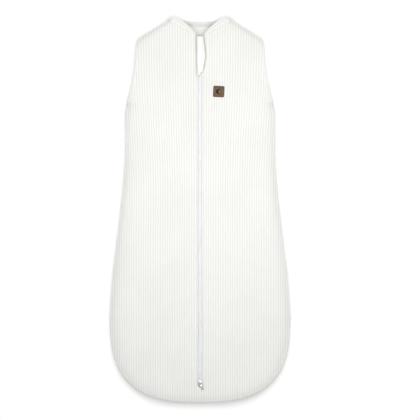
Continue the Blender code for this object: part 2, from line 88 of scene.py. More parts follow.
# Ribs of the outer fabric: (share of the pitch, height as a share of the depth)
RIB_PITCH = 0.0056
RIB_DEPTH = 0.0007
RIB_PROFILE = ((0.0, -1.0), (0.2, -0.16), (0.5, 0.0), (0.8, -0.16))
RIB_COUNT = 40
RIB_FAN = 0.10  # how much wider the ribs are at the shoulders
ROW_STEP = 0.006
SHOULDER_ROW_STEP = 0.002
ROWS_END = -0.432  # of the evenly spaced rows
HEM_ROWS_X = 0.165  # inside this half width the hem's curve has a row at each rib
LEAST_ROW_STEP = 0.00012

# Slit for the zip, and the fabric's edge turned in along it: (distance past the edge, height)
SLIT_HALF = 0.0049
SLIT_END = -0.4145
SLIT_WAVER = (  # (y, how much further out the left edge lies, and the right one)
    (0.440, 0.0, 0.0),
    (0.320, 0.0, 0.0),
    (0.200, 0.0003, -0.0005),
    (0.000, 0.0004, -0.0007),
    (-0.180, 0.0001, -0.0003),
    (-0.260, 0.0001, 0.0003),
    (-0.310, 0.0003, 0.0010),
    (-0.350, 0.0007, 0.0003),
    (-0.390, 0.0005, -0.0002),
    (-0.420, 0.0, 0.0),
)
TURNED_EDGE = ((0.0020, -0.0024), (0.0006, -0.0020), (0.0, -0.0012), (0.0003, -0.0004), (0.0011, 0.0))
OUTER_STEPS = (0.0016, 0.0007, 0.0002, 0.0, 0.0003)  # the last one is where front and back meet
SEAM_BAND = 0.0026  # the ribs' columns stay this far from the outer seam
SIDE_SEAM = ((0.2450, 0.0088), (0.140, 0.0062), (0.020, 0.0050), (-0.020, 0.0))  # (y, inset from the outline)
LAYER_INSET = 0.0035  # from the outline to the wadding's and the lining's ends
WADDING_INSET = 0.0111  # from the slit's edge
LINING_INSET = 0.0031
# Painted shade: the front's lining and the back's are one cloth, painted at two tones. The back's has its
# full colour, which offsets the shade inside the neck opening; the front's, open to the light on the folded
# lapels, is painted this share of the way from its valley colour to its full colour.
FRONT_LINING_PAINTED_LIGHTNESS = 0.55  # of the lining that shows on the folded lapels, between valley and full colour

# Zip
TAPE_HALF = 0.015
TAPE_TOP = -0.0022
TAPE = 0.0008
TAPE_ENDS = (-0.4135, 0.4015)
TAPE_PROFILE = (  # (distance from the middle, height)
    (0.0034, 0.0), (0.0039, -0.0003), (0.0046, -0.0021), (0.0095, -0.0020), (0.0120, -0.0012),
    (0.0150, -0.0001),
)
COIL_ENDS = (-0.4095, 0.395)
COIL_PITCH = 0.0017
COIL_WIRE = 0.00036
COIL_TURN_POINTS = 8
COIL_MESH = 0.49  # of a turn that the right coil lies lower, so that the two mesh
COIL_CENTRE = Vector((0.0014, -0.00105))
COIL_REACH = Vector((0.0018, 0.0007))
# Sliders: (place, way that the open end points, how far the pull is turned aside)
SLIDERS = {"top": (0.389, 1, 0.0), "bottom": (-0.4045, -1, math.radians(24))}
PULL_AXIS_Z = 0.0021
SLIDER_HALF = 0.0055
PLATE_HALF_WIDTH = 0.0040
PLATES = ((0.0003, 0.0013), (-0.0044, -0.0034))  # heights of the slider's plates over and under the coils
BRIDGE_HALF = (0.0008, 0.0038)
BRIDGE_HEIGHTS = (0.0011, 0.0039)
BRIDGE_THICKNESS = 0.0009
BRIDGE_SECTION = ((-1.0, 0.0), (-0.8, -0.15), (0.8, -0.15), (1.0, 0.0), (1.0, 1.0), (-1.0, 1.0))
POST_HALF = (0.0005, 0.0010)
POST_INSET = 0.0014  # of its middle from the open end
POST_HEIGHTS = (-0.0035, 0.0004)
FLANGE_X = 0.0041
FLANGE_HALF = 0.0003
FLANGE_REACH = (-0.1, 0.85)  # from the middle towards the closed end, as shares of the slider's half
FLANGE_HEIGHTS = (-0.0018, 0.0005)
PULL_HALF_WIDTH = 0.0041
PULL_LENGTH = 0.0170
PULL_EYE = 0.0005  # the pull's upper end lies this far past its axis
PULL_WINDOW = np.array((0.0, -0.00275))  # its middle
PULL_WINDOW_HALF = (0.0027, 0.00225)
PULL_DISH = (-0.0125, 0.00016)  # place along the pull, and depth
PULL_HALF_THICKNESS = 0.0005
PULL_RINGS = (  # (outline, height as a share of half the thickness, how far it is drawn in)
    ("window", 0.72, 0.0),
    ("window", 1.0, 0.08),
    ("middle", 1.0, 0.0),
    ("outer", 1.0, 0.10),
    ("outer", 0.6, 0.0),
)

# Fold of each half of the front: the line through these two points where its lapel turns, and the width of
# the band beside it that bends. Here they only set where the inner layers' columns lie close together.
FOLD_FROM = Vector((-0.0005, -0.2445))
FOLD_TO = Vector((0.0705, 0.440))
FOLD_WIDTH = 0.012

# Collar: its seam with the front and its free edge, from the shoulder to the zip
COLLAR_SEAM = ((0.0718, 0.4375), (0.060, 0.4335), (0.0447, 0.4250), (0.0255, 0.4135), (0.0095, 0.4040))
COLLAR_EDGE = ((0.0668, 0.4490), (0.052, 0.4440), (0.0370, 0.4355), (0.0190, 0.4195), (0.0088, 0.4082))
COLLAR_END_WAY = (0.95, 0.30)  # the way the collar runs at its end on the shoulder
COLLAR_DEPTH = 0.0068
COLLAR_TOP = 0.0026
COLLAR_PUCKER = 0.0003
BACK_COLLAR_HALF = 0.069
BACK_NECK_Y = 0.424
BACK_NECK_RISE = 0.014
COLLAR_HALF = 0.076
BACK_COLLAR_WIDTH = 0.0122
BACK_COLLAR_TOP = 0.0022
BACK_COLLAR_RISE = 0.0062  # above the back
BACK_COLLAR_END_RISE = 0.0095  # and how much more at its ends, to meet the front's
COLLAR_STATIONS = 60
COLLAR_AROUND = 28
COLLAR_STITCH_LINE = 0.47  # share of the band's width at which its line of stitching runs

BINDING_ENDS = (0.2490, 0.3975)
BINDING_RADII = (0.0018, 0.0026)
BINDING_INSET = 0.0016

# Guard flap: (y, left edge, right edge)
FLAP_ROWS = (
    (0.4015, -0.0080, 0.0082),
    (0.382, -0.0078, 0.0106),
    (0.357, -0.0073, 0.0126),
    (0.340, -0.0069, 0.0102),
    (0.323, -0.0063, 0.0068),
    (0.315, -0.0060, 0.0012),
    (0.309, -0.0057, -0.0042),
)
FLAP_DITCH_X = -0.0088
FLAP_DITCH = 0.0032
FLAP_RISE = (0.0018, 0.0037)  # of the arch over the coils, and how much more over the slider
FLAP_SLIDER_FROM = 0.356
FLAP_WALLS = (0.0009, 0.0024)  # width of the rounded edge on the left and on the right
FLAP_PUFF = 0.0032
FLAP_STITCH_INSET = 0.0030

# Patch
PATCH_CENTRE = Vector((0.0434, 0.2733))
PATCH_SIZE = 0.026
PATCH_TURN = math.radians(-2.5)
PATCH_THICKNESS = 0.0014
STITCH_SIZE = 0.0218
STITCHES_PER_SIDE = 9
STITCH_RADIUS = 0.00032
STITCH_REACH = 0.36  # each way from its middle, as a share of the pitch
LEATHER_PROFILE = (  # (share of the half width, share of the thickness, how burnished), from the middle out
    (0.0, 1.0, 0.0), (0.35, 1.0, 0.0), (0.7, 0.99, 0.0), (0.80, 0.97, 0.0), (0.835, 0.86, 0.1),
    (0.87, 0.93, 0.1), (0.94, 0.95, 0.3), (0.98, 0.82, 0.8), (1.0, 0.5, 1.0), (0.995, 0.0, 1.0),
)
MOON_RADIUS = 0.0062
MOON_BITE_RADIUS = 0.0049
MOON_BITE_OFFSET = 0.0034
MOON_RISE = 0.00022
MOON_THICKNESS = 0.0004

SIDES = {"left": -1, "right": 1}
WHITE = (1.0, 1.0, 1.0)

# Knits: (colour, painted shade for the valleys of its ribs and other hollows, size of a stitch, depth, sheen)
KNITS = {
    "outer": ((0.758, 0.763, 0.738), (0.615, 0.62, 0.585), 0.0011, 0.00012, 0.6),
    "plain": ((0.73, 0.735, 0.705), (0.59, 0.595, 0.56), 0.0008, 0.00007, 0.25),
    # Painted light: the flap is of the same plain jersey as the collar and bindings, painted lighter because
    # it faces up at the highest place.
    "flap": ((0.80, 0.805, 0.77), (0.60, 0.605, 0.57), 0.0008, 0.00007, 0.25),
    "lining": ((0.835, 0.84, 0.815), (0.68, 0.685, 0.655), 0.0009, 0.00007, 0.1),
}
# Waves of the knit: (way that they follow, stretch, distortion, detail scale), courses and then stitches
KNIT_WAVES = (("Y", (0.31, 0.31, 0.31), 2.0, 2.0), ("X", (0.42, 0.2, 0.42), 1.5, 3.0))

# Camera and lights
CAMERA_PLACE = (0.0231, -0.0025, 8.0)
CAMERA_SENSOR = 36.0
PICTURE_WIDTH = 0.9795  # at the middle of the bag's height
BAG_MIDDLE_Z = 0.02
FLOOR_HALF = 4.0
FLOOR_Z = -0.0004
FLOOR_WHITE = (0.95, 0.95, 0.95)
SKY_STRENGTH = 0.635
LAMP_PLACE = (0.05, 0.17, 0.92)
LAMP_SIZE = 0.9
LAMP_ENERGY = 6.1
SUNS = (  # (name, energy, spread, tilt from straight above: towards the neck if negative)
    ("neck_sun", 0.46, 28, -34),
    ("hem_fill", 0.80, 24, 75),
)


# Shape of the bag


def steady(table, at, column=1):
    """Values at those places of a smooth curve through a table's column. Its places run down."""
    rows = np.array(table, float)
    place, value = rows[:, 0], rows[:, column]
    at = np.asarray(at, float)
    i = np.clip(np.searchsorted(-place, -at) - 1, 0, len(place) - 2)
    before, after = np.maximum(i - 1, 0), np.minimum(i + 2, len(place) - 1)
    span = place[i + 1] - place[i]
    slope0 = (value[i + 1] - value[before]) / (place[i + 1] - place[before])
    slope1 = (value[after] - value[i]) / (place[after] - place[i])
    t = np.clip((at - place[i]) / span, 0.0, 1.0)
    return (
        value[i] * (1 + 2 * t) * (1 - t) ** 2
        + value[i + 1] * t * t * (3 - 2 * t)
        + slope0 * span * t * (1 - t) ** 2
        - slope1 * span * t * t * (1 - t)
    )


def smooth(share):
    """The share, clipped to 0 and 1 and easing in and out."""
    share = np.clip(share, 0.0, 1.0)
    return share * share * (3 - 2 * share)


def power_of(value, power):
    """A power that keeps the sign of the value."""
    return np.sign(value) * np.abs(value) ** power


def around(count):
    """Angles of that many even steps of a full turn."""
    return np.arange(count) * 2 * math.pi / count


def points_at(*axes):
    """Points from arrays of their coordinates."""
    return np.stack(np.broadcast_arrays(*axes), axis=-1)


def hem_share(y):
    """How far down the hem's curve y is."""
    return np.clip((HEM_TOP - y) / HEM_DEPTH, 0.0, 1.0)


def half_width(y):
    """Distance from the middle line of the outline."""
    curve = HEM_HALF_WIDTH * (1 - hem_share(y) ** HEM_POWER) ** (1 / HEM_POWER)
    puff = CLOTH_PUFF * smooth((SHOULDER_TIP - y) / 0.05)
    return np.where(y >= HEM_TOP, steady(HALF_WIDTHS, y), np.maximum(curve, HEM_END_HALF)) + puff


def outwardness(x, y):
    """0 on the middle line and 1 on the edge where front and back meet."""
    along = np.clip((y - ARMPIT) / (SHOULDER_TIP - ARMPIT), 0.0, 1.0)
    body = np.abs(x) / (half_width(y) + ARMHOLE_LIFT * np.sin(math.pi * along))
    across = (np.abs(x) / HEM_HALF_WIDTH) ** HEM_POWER
    hem = (across + hem_share(y) ** HEM_POWER) ** (1 / HEM_POWER)
    return np.minimum(np.where(y >= HEM_TOP, body, hem), 1.0)


def pillow(out, y):
    """Share of its full height that the front has at an outwardness: it is squarer towards the hem."""
    power = PILLOW_POWER + (HEM_PILLOW_POWER - PILLOW_POWER) * smooth(2 * hem_share(y))
    return np.sqrt(np.maximum(1 - out**power, 0.0))


def zip_line(y):
    """Height of the line that the zip follows, straight from the neck to the hem's curve."""
    start, end = TOP_LINE_ENDS
    share = np.clip((start - y) / (start - end), 0.0, 1.0)
    return NECK_TOP_Z + (BODY_TOP_Z - NECK_TOP_Z) * share


def front_z(x, y):
    """Height of the front, before its ribs and folds."""
    edge = SEAM_Z + GAP / 2 + OUTER
    past_slit = np.clip((y - SLIT_END) / SLIT_END_ROUNDING, -1.0, 1.0)
    level_to = np.where(past_slit > -1, y + SLIT_END_ROUNDING * (1 - past_slit) ** 2 / 4, SLIT_END)
    beside_zip = pillow(outwardness(0.0, level_to), level_to)
    return edge + (zip_line(y) - edge) * np.minimum(pillow(outwardness(x, y), y) / beside_zip, 1.0)


def back_z(x, y):
    """Height of the back, which is flat on the floor but for its edges."""
    edge = SEAM_Z - GAP / 2 - OUTER
    rise = np.clip((outwardness(x, y) - FLAT_BACK) / (1 - FLAT_BACK), 0.0, 1.0)
    return edge * (1 - np.sqrt(1 - rise * rise))


def neckline_x(y):
    """Distance from the middle of the front's neckline."""
    return steady([(py, px) for px, py in COLLAR_SEAM], y) + GAP


def back_neck_x(y):
    """Distance from the middle of the back's neckline, 0 below it."""
    return COLLAR_HALF * np.sqrt(np.clip((y - BACK_NECK_Y) / BACK_NECK_RISE, 0.0, 1.0))


def soft_noise(x, y, cell_x, cell_y, seed):
    """Smooth random heights from -1 to 1, with features about the size of a cell."""
    lattice = np.random.default_rng(seed).uniform(-1, 1, (256, 256))
    u, v = np.asarray(x) / cell_x + 100.5, np.asarray(y) / cell_y + 100.5
    i, j = np.floor(u).astype(int), np.floor(v).astype(int)
    s, t = smooth(u - i), smooth(v - j)
    corner = [lattice[(i + a) % 256, (j + b) % 256] for a in (0, 1) for b in (0, 1)]
    low = corner[0] * (1 - t) + corner[1] * t
    high = corner[2] * (1 - t) + corner[3] * t
    return low * (1 - s) + high * s


# Mesh helpers


def add_object(name, data):
    """Puts an object in the scene."""
    made = bpy.data.objects.new(name, data)
    bpy.context.scene.collection.objects.link(made)
    return made


def make_piece(name, points, faces, look, up=0, **values):
    """An object from an array of points and its faces, whose repeated points are merged.

    Its faces point out or, on an open sheet, up for 1 and down for -1. values become attributes."""
    points = np.asarray(points, float).reshape(-1, 3)
    keys = np.round(points * 1e7).astype(np.int64)
    _, first, index = np.unique(keys, axis=0, return_index=True, return_inverse=True)
    index = index.reshape(-1)
    kept = []
    for face in faces:
        corners = [int(index[v]) for v in face]
        corners = [v for i, v in enumerate(corners) if v != corners[i - 1]]
        if len(set(corners)) > 2 and len(set(corners)) == len(corners):
            kept.append(corners)
    mesh = bpy.data.meshes.new(name)
    mesh.from_pydata(points[first].tolist(), [], kept)
    bm = bmesh.new()
    bm.from_mesh(mesh)
    bmesh.ops.recalc_face_normals(bm, faces=bm.faces)
    if up and sum(up * f.normal.z * f.calc_area() for f in bm.faces) < 0:
        bmesh.ops.reverse_faces(bm, faces=bm.faces)
    bm.to_mesh(mesh)
    bm.free()
    for attribute, numbers in values.items():
        stored = mesh.attributes.new(attribute, "FLOAT", "POINT")
        stored.data.foreach_set("value", np.asarray(numbers, np.float32).reshape(-1)[first])
    mesh.shade_smooth()
    mesh.materials.append(look)
    return add_object(name, mesh)


def grid_faces(rows, columns, wrap_rows=False, wrap_columns=False, start=0):
    """Quads over a grid of points stored row by row."""
    faces = []
    for r in range(rows if wrap_rows else rows - 1):
        for c in range(columns if wrap_columns else columns - 1):
            below, beside = (r + 1) % rows, (c + 1) % columns
            corners = ((r, c), (r, beside), (below, beside), (below, c))
            faces.append(tuple(start + i * columns + j for i, j in corners))
    return faces


def end_faces(stations, points, start=0):
    """The two faces that close a run of rings."""
    last = start + (stations - 1) * points
    return [tuple(range(start, start + points)), tuple(range(last, last + points))]


def slab(name, top, bottom, look, **values):
    """A closed solid between two grids of points with the same outline."""
    rows, columns = top.shape[:2]
    # The bottom's points come after the top's, so each row is a ring over the top and back below it.
    ring = np.concatenate([top, bottom[:, ::-1]], axis=1)
    faces = grid_faces(rows, 2 * columns, wrap_columns=True)
    for row in (0, rows - 1):
        first = row * 2 * columns
        for c in range(columns - 1):
            corners = (c, c + 1, 2 * columns - 2 - c, 2 * columns - 1 - c)
            faces.append(tuple(first + corner for corner in corners))
    return make_piece(name, ring, faces, look, **values)


def tube(name, sections, look, closed=True, **values):
    """A surface through cross-sections, given as (stations, points round each, 3)."""
    stations, points = sections.shape[:2]
    faces = grid_faces(stations, points, wrap_rows=closed, wrap_columns=True)
    if not closed:
        faces += end_faces(stations, points)
    return make_piece(name, sections, faces, look, **values)


def sweep(path, radius_a, radius_b, points, up=(0.0, 0.0, 1.0), closed=False):
    """Elliptic cross-sections along a path, with radius_b towards up."""
    if closed:
        along = np.roll(path, -1, 0) - np.roll(path, 1, 0)
    else:
        along = np.gradient(path, axis=0)
    along /= np.linalg.norm(along, axis=1)[:, None]
    side = np.cross(along, np.array(up, float))
    side /= np.linalg.norm(side, axis=1)[:, None]
    rise = np.cross(side, along)
    angle = around(points)[None, :, None]
    a = np.broadcast_to(radius_a, len(path))[:, None, None]
    b = np.broadcast_to(radius_b, len(path))[:, None, None]
    return path[:, None] + side[:, None] * a * np.cos(angle) + rise[:, None] * b * np.sin(angle)


def rounded_box(half_x, half_y, power, angle):
    """Points at those angles on a rectangle whose corners are rounder with a lower power."""
    cos, sin = np.cos(angle), np.sin(angle)
    reach = (np.abs(cos / half_x) ** power + np.abs(sin / half_y) ** power) ** (-1 / power)
    return points_at(cos * reach, sin * reach)


def bend_with_lapel(piece):
    """Bakes the piece's transform into its mesh; nothing here turns it with its lapel."""
    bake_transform(piece)


def attach(piece, body, nodes):
    """Parents the piece to the empty of the body that moves it, and hides the solids that it stands for.

    A body called left or right is the bag and that lapel; such a piece only has its transform baked. A piece
    that moves already has none."""
    if body in SIDES:
        bend_with_lapel(piece)
    elif body:
        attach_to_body(piece, body)
    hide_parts(*nodes)


# Materials


class Surface:
    """A material with its Principled shader, and the nodes that it is made of."""

    def __init__(self, name, colour, roughness, metallic=0.0, sheen=0.0):
        self.made = bpy.data.materials.new(name)
        self.made.use_nodes = True
        self.nodes, self.links = self.made.node_tree.nodes, self.made.node_tree.links
        self.inputs = self.nodes["Principled BSDF"].inputs
        self.inputs["Base Color"].default_value = (*colour, 1.0)
        self.inputs["Roughness"].default_value = roughness
        self.inputs["Metallic"].default_value = metallic
        self.inputs["Sheen Weight"].default_value = sheen
        self.inputs["Sheen Roughness"].default_value = 0.5

    def texture(self, kind, scale, vector=None, output="Fac", **settings):
        """Output of a texture on object coordinates, with sockets and properties set by name."""
        node = self.nodes.new("ShaderNodeTex" + kind)
        node.inputs["Scale"].default_value = scale
        for key, value in settings.items():
            if key in node.inputs:
                node.inputs[key].default_value = value
            else:
                setattr(node, key, value)
        self.links.new(vector or self.coordinates(), node.inputs["Vector"])
        return node.outputs[output]

    def coordinates(self):
        return self.nodes.new("ShaderNodeTexCoord").outputs["Object"]

    def stretched(self, scale=WHITE, turn=0.0):
        """Object coordinates, scaled along each axis and turned about Z."""
        mapping = self.nodes.new("ShaderNodeMapping")
        mapping.inputs["Scale"].default_value = scale
        mapping.inputs["Rotation"].default_value = (0.0, 0.0, turn)
        self.links.new(self.coordinates(), mapping.inputs["Vector"])
        return mapping.outputs["Vector"]

    def attribute(self, name):
        node = self.nodes.new("ShaderNodeAttribute")
        node.attribute_name = name
        return node.outputs["Fac"]

    def tint(self, source, low, high, start=0.0, end=1.0):
        """A colour that goes from low to high as source goes from start to end."""
        ramp = self.nodes.new("ShaderNodeValToRGB")
        for element, colour, position in zip(ramp.color_ramp.elements, (low, high), (start, end)):
            element.color = (*colour, 1.0)
            element.position = position
        self.links.new(source, ramp.inputs["Fac"])
        return ramp.outputs["Color"]

    def multiply(self, first, *others):
        """Product of several colours."""
        for other in others:
            mix = self.nodes.new("ShaderNodeMix")
            mix.data_type = "RGBA"
            mix.blend_type = "MULTIPLY"
            mix.inputs[0].default_value = 1.0
            self.links.new(first, mix.inputs[6])
            self.links.new(other, mix.inputs[7])
            first = mix.outputs[2]
        return first

    def paint(self, *ramp):
        """Gives the surface a tint's colour."""
        self.links.new(self.tint(*ramp), self.inputs["Base Color"])

    def bump(self, *sources):
        """Raises and lowers the surface by each (source, distance, strength) in turn."""
        normal = None
        for source, distance, strength in sources:
            bump = self.nodes.new("ShaderNodeBump")
            bump.inputs["Distance"].default_value = distance
            bump.inputs["Strength"].default_value = strength
            self.links.new(source, bump.inputs["Height"])
            if normal is not None:
                self.links.new(normal, bump.inputs["Normal"])
            normal = bump.outputs["Normal"]
        self.links.new(normal, self.inputs["Normal"])


def knit_material(name, colour, painted_valley_shade, knit, depth, sheen):
    """Knitted cloth: fine courses across, stitches along, and fuzz. The valley colour is painted shade,
    tinted in by a per-point lightness attribute where the cloth lies deep.
    """
    cloth = Surface(name, colour, 0.92, sheen=sheen)
    # Painted shade: the attribute darkens the colour towards the valley colour in the ribs' valleys, ditches,
    # pressed creases and stitch lines.
    ribs = cloth.tint(cloth.attribute("rib"), painted_valley_shade, colour)
    clouds = cloth.tint(cloth.texture("Noise", 14.0, Detail=2.0), (0.975, 0.975, 0.97), WHITE, 0.35, 0.65)
    fuzzy = cloth.texture("Noise", 1500.0, Detail=3.0, Roughness=0.7)
    fuzz = cloth.tint(fuzzy, (0.93, 0.93, 0.92), WHITE, 0.3, 0.6)
    cloth.links.new(cloth.multiply(ribs, clouds, fuzz), cloth.inputs["Base Color"])
    waves = []
    for way, scale, distortion, detail_scale in KNIT_WAVES:
        settings = {"bands_direction": way, "Distortion": distortion, "Detail Scale": detail_scale}
        waves.append(cloth.texture("Wave", 1.0 / knit, cloth.stretched(scale), Detail=1.0, **settings))
    cloth.bump((waves[0], depth, 0.6), (waves[1], depth, 0.5), (fuzzy, depth, 0.35))
    return cloth.made


def wadding_material():
    fibre = Surface("wadding_fibre", (0.86, 0.86, 0.85), 1.0, sheen=0.4)
    fluff = fibre.texture("Noise", 260.0, Detail=6.0, Roughness=0.75)
    fibre.paint(fluff, (0.74, 0.74, 0.73), (0.92, 0.92, 0.91), 0.3, 0.7)
    fibre.bump((fluff, 0.0012, 1.0))
    return fibre.made


def tape_material():
    """Woven zip tape: a herringbone of two slanting twills."""
    tape = Surface("woven_tape", (0.90, 0.93, 0.93), 0.75, sheen=0.15)
    slants = [tape.texture("Wave", 420.0, tape.stretched(turn=turn), Distortion=0.3) for turn in (0.7, -0.7)]
    weave = tape.multiply(*slants)
    tape.paint(weave, (0.86, 0.89, 0.89), (0.93, 0.955, 0.95), 0.1, 0.8)
    tape.bump((weave, 0.0002, 0.8))
    return tape.made


def coil_material():
    nylon = Surface("coil_nylon", (0.94, 0.97, 0.965), 0.32)
    grain = nylon.texture("Noise", 700.0, Detail=2.0)
    nylon.paint(grain, (0.93, 0.96, 0.955), (0.96, 0.985, 0.98), 0.3, 0.7)
    nylon.bump((grain, 0.00005, 0.3))
    return nylon.made


def metal_material():
    """Satin nickel with a fine tumbled grain and small duller patches."""
    nickel = Surface("satin_nickel", (0.62, 0.63, 0.64), 0.26, metallic=1.0)
    grain = nickel.texture("Noise", 2200.0, Detail=4.0)
    worn = nickel.texture("Noise", 350.0, Detail=3.0)
    nickel.paint(worn, (0.52, 0.53, 0.54), (0.68, 0.69, 0.70), 0.35, 0.65)
    rough = nickel.tint(worn, (0.36, 0.36, 0.36), (0.20, 0.20, 0.20), 0.3, 0.7)
    nickel.links.new(rough, nickel.inputs["Roughness"])
    nickel.bump((grain, 0.00003, 0.4))
    return nickel.made


def leather_material():
    """Brown leather: pebbled grain, cloudy colour and burnished rims."""
    leather = Surface("brown_leather", (0.13, 0.09, 0.05), 0.6)
    leather.inputs["Specular IOR Level"].default_value = 0.2
    pebbles = leather.texture("Voronoi", 1500.0, output="Distance", feature="SMOOTH_F1")
    pores = leather.texture("Noise", 4200.0, Detail=3.0)
    cloudy = leather.texture("Noise", 130.0, Detail=4.0)
    base = leather.tint(cloudy, (0.106, 0.066, 0.035), (0.165, 0.106, 0.059), 0.3, 0.7)
    grain = leather.tint(pebbles, WHITE, (0.72, 0.70, 0.68), 0.2, 0.8)
    rim = leather.tint(leather.attribute("rim"), WHITE, (0.42, 0.38, 0.34))
    leather.links.new(leather.multiply(base, grain, rim), leather.inputs["Base Color"])
    leather.bump((pebbles, 0.00018, 0.7), (pores, 0.00006, 0.5))
    return leather.made


def thread_material():
    thread = Surface("brown_thread", (0.10, 0.07, 0.045), 0.7, sheen=0.2)
    twist = thread.texture("Wave", 900.0, thread.stretched(turn=0.6), Distortion=0.5)
    thread.paint(twist, (0.07, 0.05, 0.03), (0.16, 0.11, 0.07))
    thread.bump((twist, 0.0001, 0.7))
    return thread.made


def emblem_material():
    """Leather that a hot stamp has pressed and darkened."""
    stamp = Surface("pressed_leather", (0.02, 0.013, 0.008), 0.6)
    stamp.inputs["Specular IOR Level"].default_value = 0.15
    grain = stamp.texture("Noise", 1800.0, Detail=4.0)
    stamp.paint(grain, (0.008, 0.005, 0.003), (0.022, 0.014, 0.009))
    stamp.bump((grain, 0.00008, 0.6))
    return stamp.made


# Cloths


def fabric_rows():
    """Places of the rows down the bag: close at the shoulders, the slit's end and the hem."""
    neck = BACK_NECK_Y + (SHOULDER_END - BACK_NECK_Y) * np.linspace(0, 1, 11) ** 2
    shoulder = np.arange(BACK_NECK_Y - 0.001, SHOULDER_TIP - 0.004, -SHOULDER_ROW_STEP)
    body = np.arange(SHOULDER_TIP - 0.005, ROWS_END, -ROW_STEP)
    hem_x = np.arange(HEM_ROWS_X, HEM_END_HALF, -RIB_PITCH)
    hem = HEM_TOP - HEM_DEPTH * (1 - (hem_x / HEM_HALF_WIDTH) ** HEM_POWER) ** (1 / HEM_POWER)
    slit_end = np.linspace(SLIT_END + SLIT_HALF, SLIT_END, 7)
    rows = np.concatenate([neck, shoulder, body, hem, slit_end, [HEM_END, SLIT_END - 0.0004]])
    rows = np.sort(rows)[::-1]
    keep = np.concatenate([[True], -np.diff(rows) > LEAST_ROW_STEP])
    rows = rows[keep]
    rows[-1] = HEM_END
    return rows


def slit_x(y, side):
    """Distance from the middle of one edge of the slit, which wavers a little."""
    down = np.clip((SLIT_END + SLIT_HALF - y) / SLIT_HALF, 0.0, 1.0)
    waver = steady(SLIT_WAVER, y, 1 if side < 0 else 2)
    return (SLIT_HALF + waver) * np.sqrt(1 - down * down)


def front_inner_x(y, side):
    """Inner end of a row of the front: the slit's edge, or the neckline above it."""
    edge = slit_x(y, side)
    return np.where(y > COLLAR_SEAM[-1][1], np.maximum(neckline_x(y), edge), edge)


def rib_waver(x, y):
    """How far the ribs wander sideways, but not on the middle line."""
    return 0.0005 * soft_noise(y, 0 * y, 0.05, 1.0, 5) * smooth(np.abs(x) / 0.02)


def rib_fan(y):
    """How much wider the ribs are here than at the hem."""
    return 1 + RIB_FAN * smooth((y - 0.05) / 0.36)


def rib_height(x, y):
    """(height, share of the full height) of the ribs, which fan out and waver a little."""
    phase = ((np.abs(x) - rib_waver(x, y)) / rib_fan(y) / RIB_PITCH + 0.5) % 1.0
    places, heights = np.array(RIB_PROFILE + ((1.0, RIB_PROFILE[0][1]),)).T
    height = np.interp(phase, places, heights)
    return RIB_DEPTH * height, 1 + height


def rib_columns(y):
    """Places of the ribs' own columns in each row, before they are cut to the outline."""
    columns = [(k + place - 0.5) * RIB_PITCH for k in range(RIB_COUNT) for place, _ in RIB_PROFILE]
    straight = np.array(columns)[None] * rib_fan(y)[:, None]
    return straight + rib_waver(straight, y[:, None])


def side_seam_inset(y):
    """How far in from the outline the side seam lies: it rolls to the front below the armhole."""
    return steady(SIDE_SEAM, y)


def front_relief(x, y):
    """Fine folds of the front: broad softness, crinkles, puckers beside its seams, and creases."""
    from_zip, from_edge = np.abs(x) - SLIT_HALF, half_width(y) - np.abs(x)
    broad = 0.0011 * soft_noise(x, y, 0.07, 0.10, 1) + 0.0005 * soft_noise(x, y, 0.03, 0.045, 2)
    crinkle = 0.00022 * soft_noise(x, y, 0.011, 0.0075, 3)
    at_zip = 0.0005 * np.exp(-from_zip / 0.010) * soft_noise(x, y, 0.05, 0.007, 4)
    at_edge = 0.0006 * np.exp(-from_edge / 0.016) * soft_noise(x, y, 0.03, 0.012, 6)
    fade = smooth(from_edge / 0.02) * smooth(from_zip / 0.02)
    below_armhole = (y < ARMPIT) & (y > -0.02)
    beside_seam = np.where(below_armhole, np.exp(-(((from_edge - side_seam_inset(y)) / 0.0013) ** 2)), 0.0)
    notch = np.exp(-((from_edge - 0.0025) ** 2 + (y - ARMPIT + 0.001) ** 2) / 0.0028**2)
    creases = np.exp(-(((y - 0.002) / 0.0016) ** 2)) + 0.7 * np.exp(-(((y + 0.012) / 0.002) ** 2))
    creases = creases * smooth((0.03 - from_edge) / 0.02)
    pressed = 0.0016 * beside_seam + 0.009 * notch + 0.0007 * creases
    return broad * fade + crinkle + at_zip + at_edge - pressed


def flap_ditch(x, y):
    """Depth of the ditches in which the guard flap's two edges lie."""
    left = np.exp(-(((x - FLAP_DITCH_X) / 0.0017) ** 2)) * smooth((y - FLAP_ROWS[-1][0] + 0.004) / 0.012)
    edge = steady(FLAP_ROWS, y, 2)
    right = np.exp(-(((x - edge - 0.0004) / 0.0015) ** 2)) * smooth((edge - SLIT_HALF) / 0.003)
    return np.where(y > FLAP_ROWS[0][0] + 0.002, 0.0, FLAP_DITCH * (left + right))


def cut_columns(columns, inner, outer, inner_band, outer_band):
    """The columns between inner and outer, held clear of a band at either end."""
    room = 0.4 * (outer - inner)
    low, high = inner + np.minimum(inner_band, room), outer - np.minimum(outer_band, room)
    return np.clip(columns, low[:, None], high[:, None])


def fabric_grid(y, inner, outer, first, inner_band):
    """x of a fabric's points: its first columns, the ribs' own and those that roll over the seam."""
    room = seam_room(inner, outer)
    rolled = [outer - step * room for step in OUTER_STEPS]
    middle = cut_columns(rib_columns(y), inner, outer, inner_band, SEAM_BAND)
    return np.concatenate([np.array(first).T, middle, np.array(rolled).T], axis=1)


def seam_room(inner, outer):
    """1, or less where a row is so short that the columns at its ends have to draw together."""
    return np.minimum(1.0, (outer - inner) / 0.02)


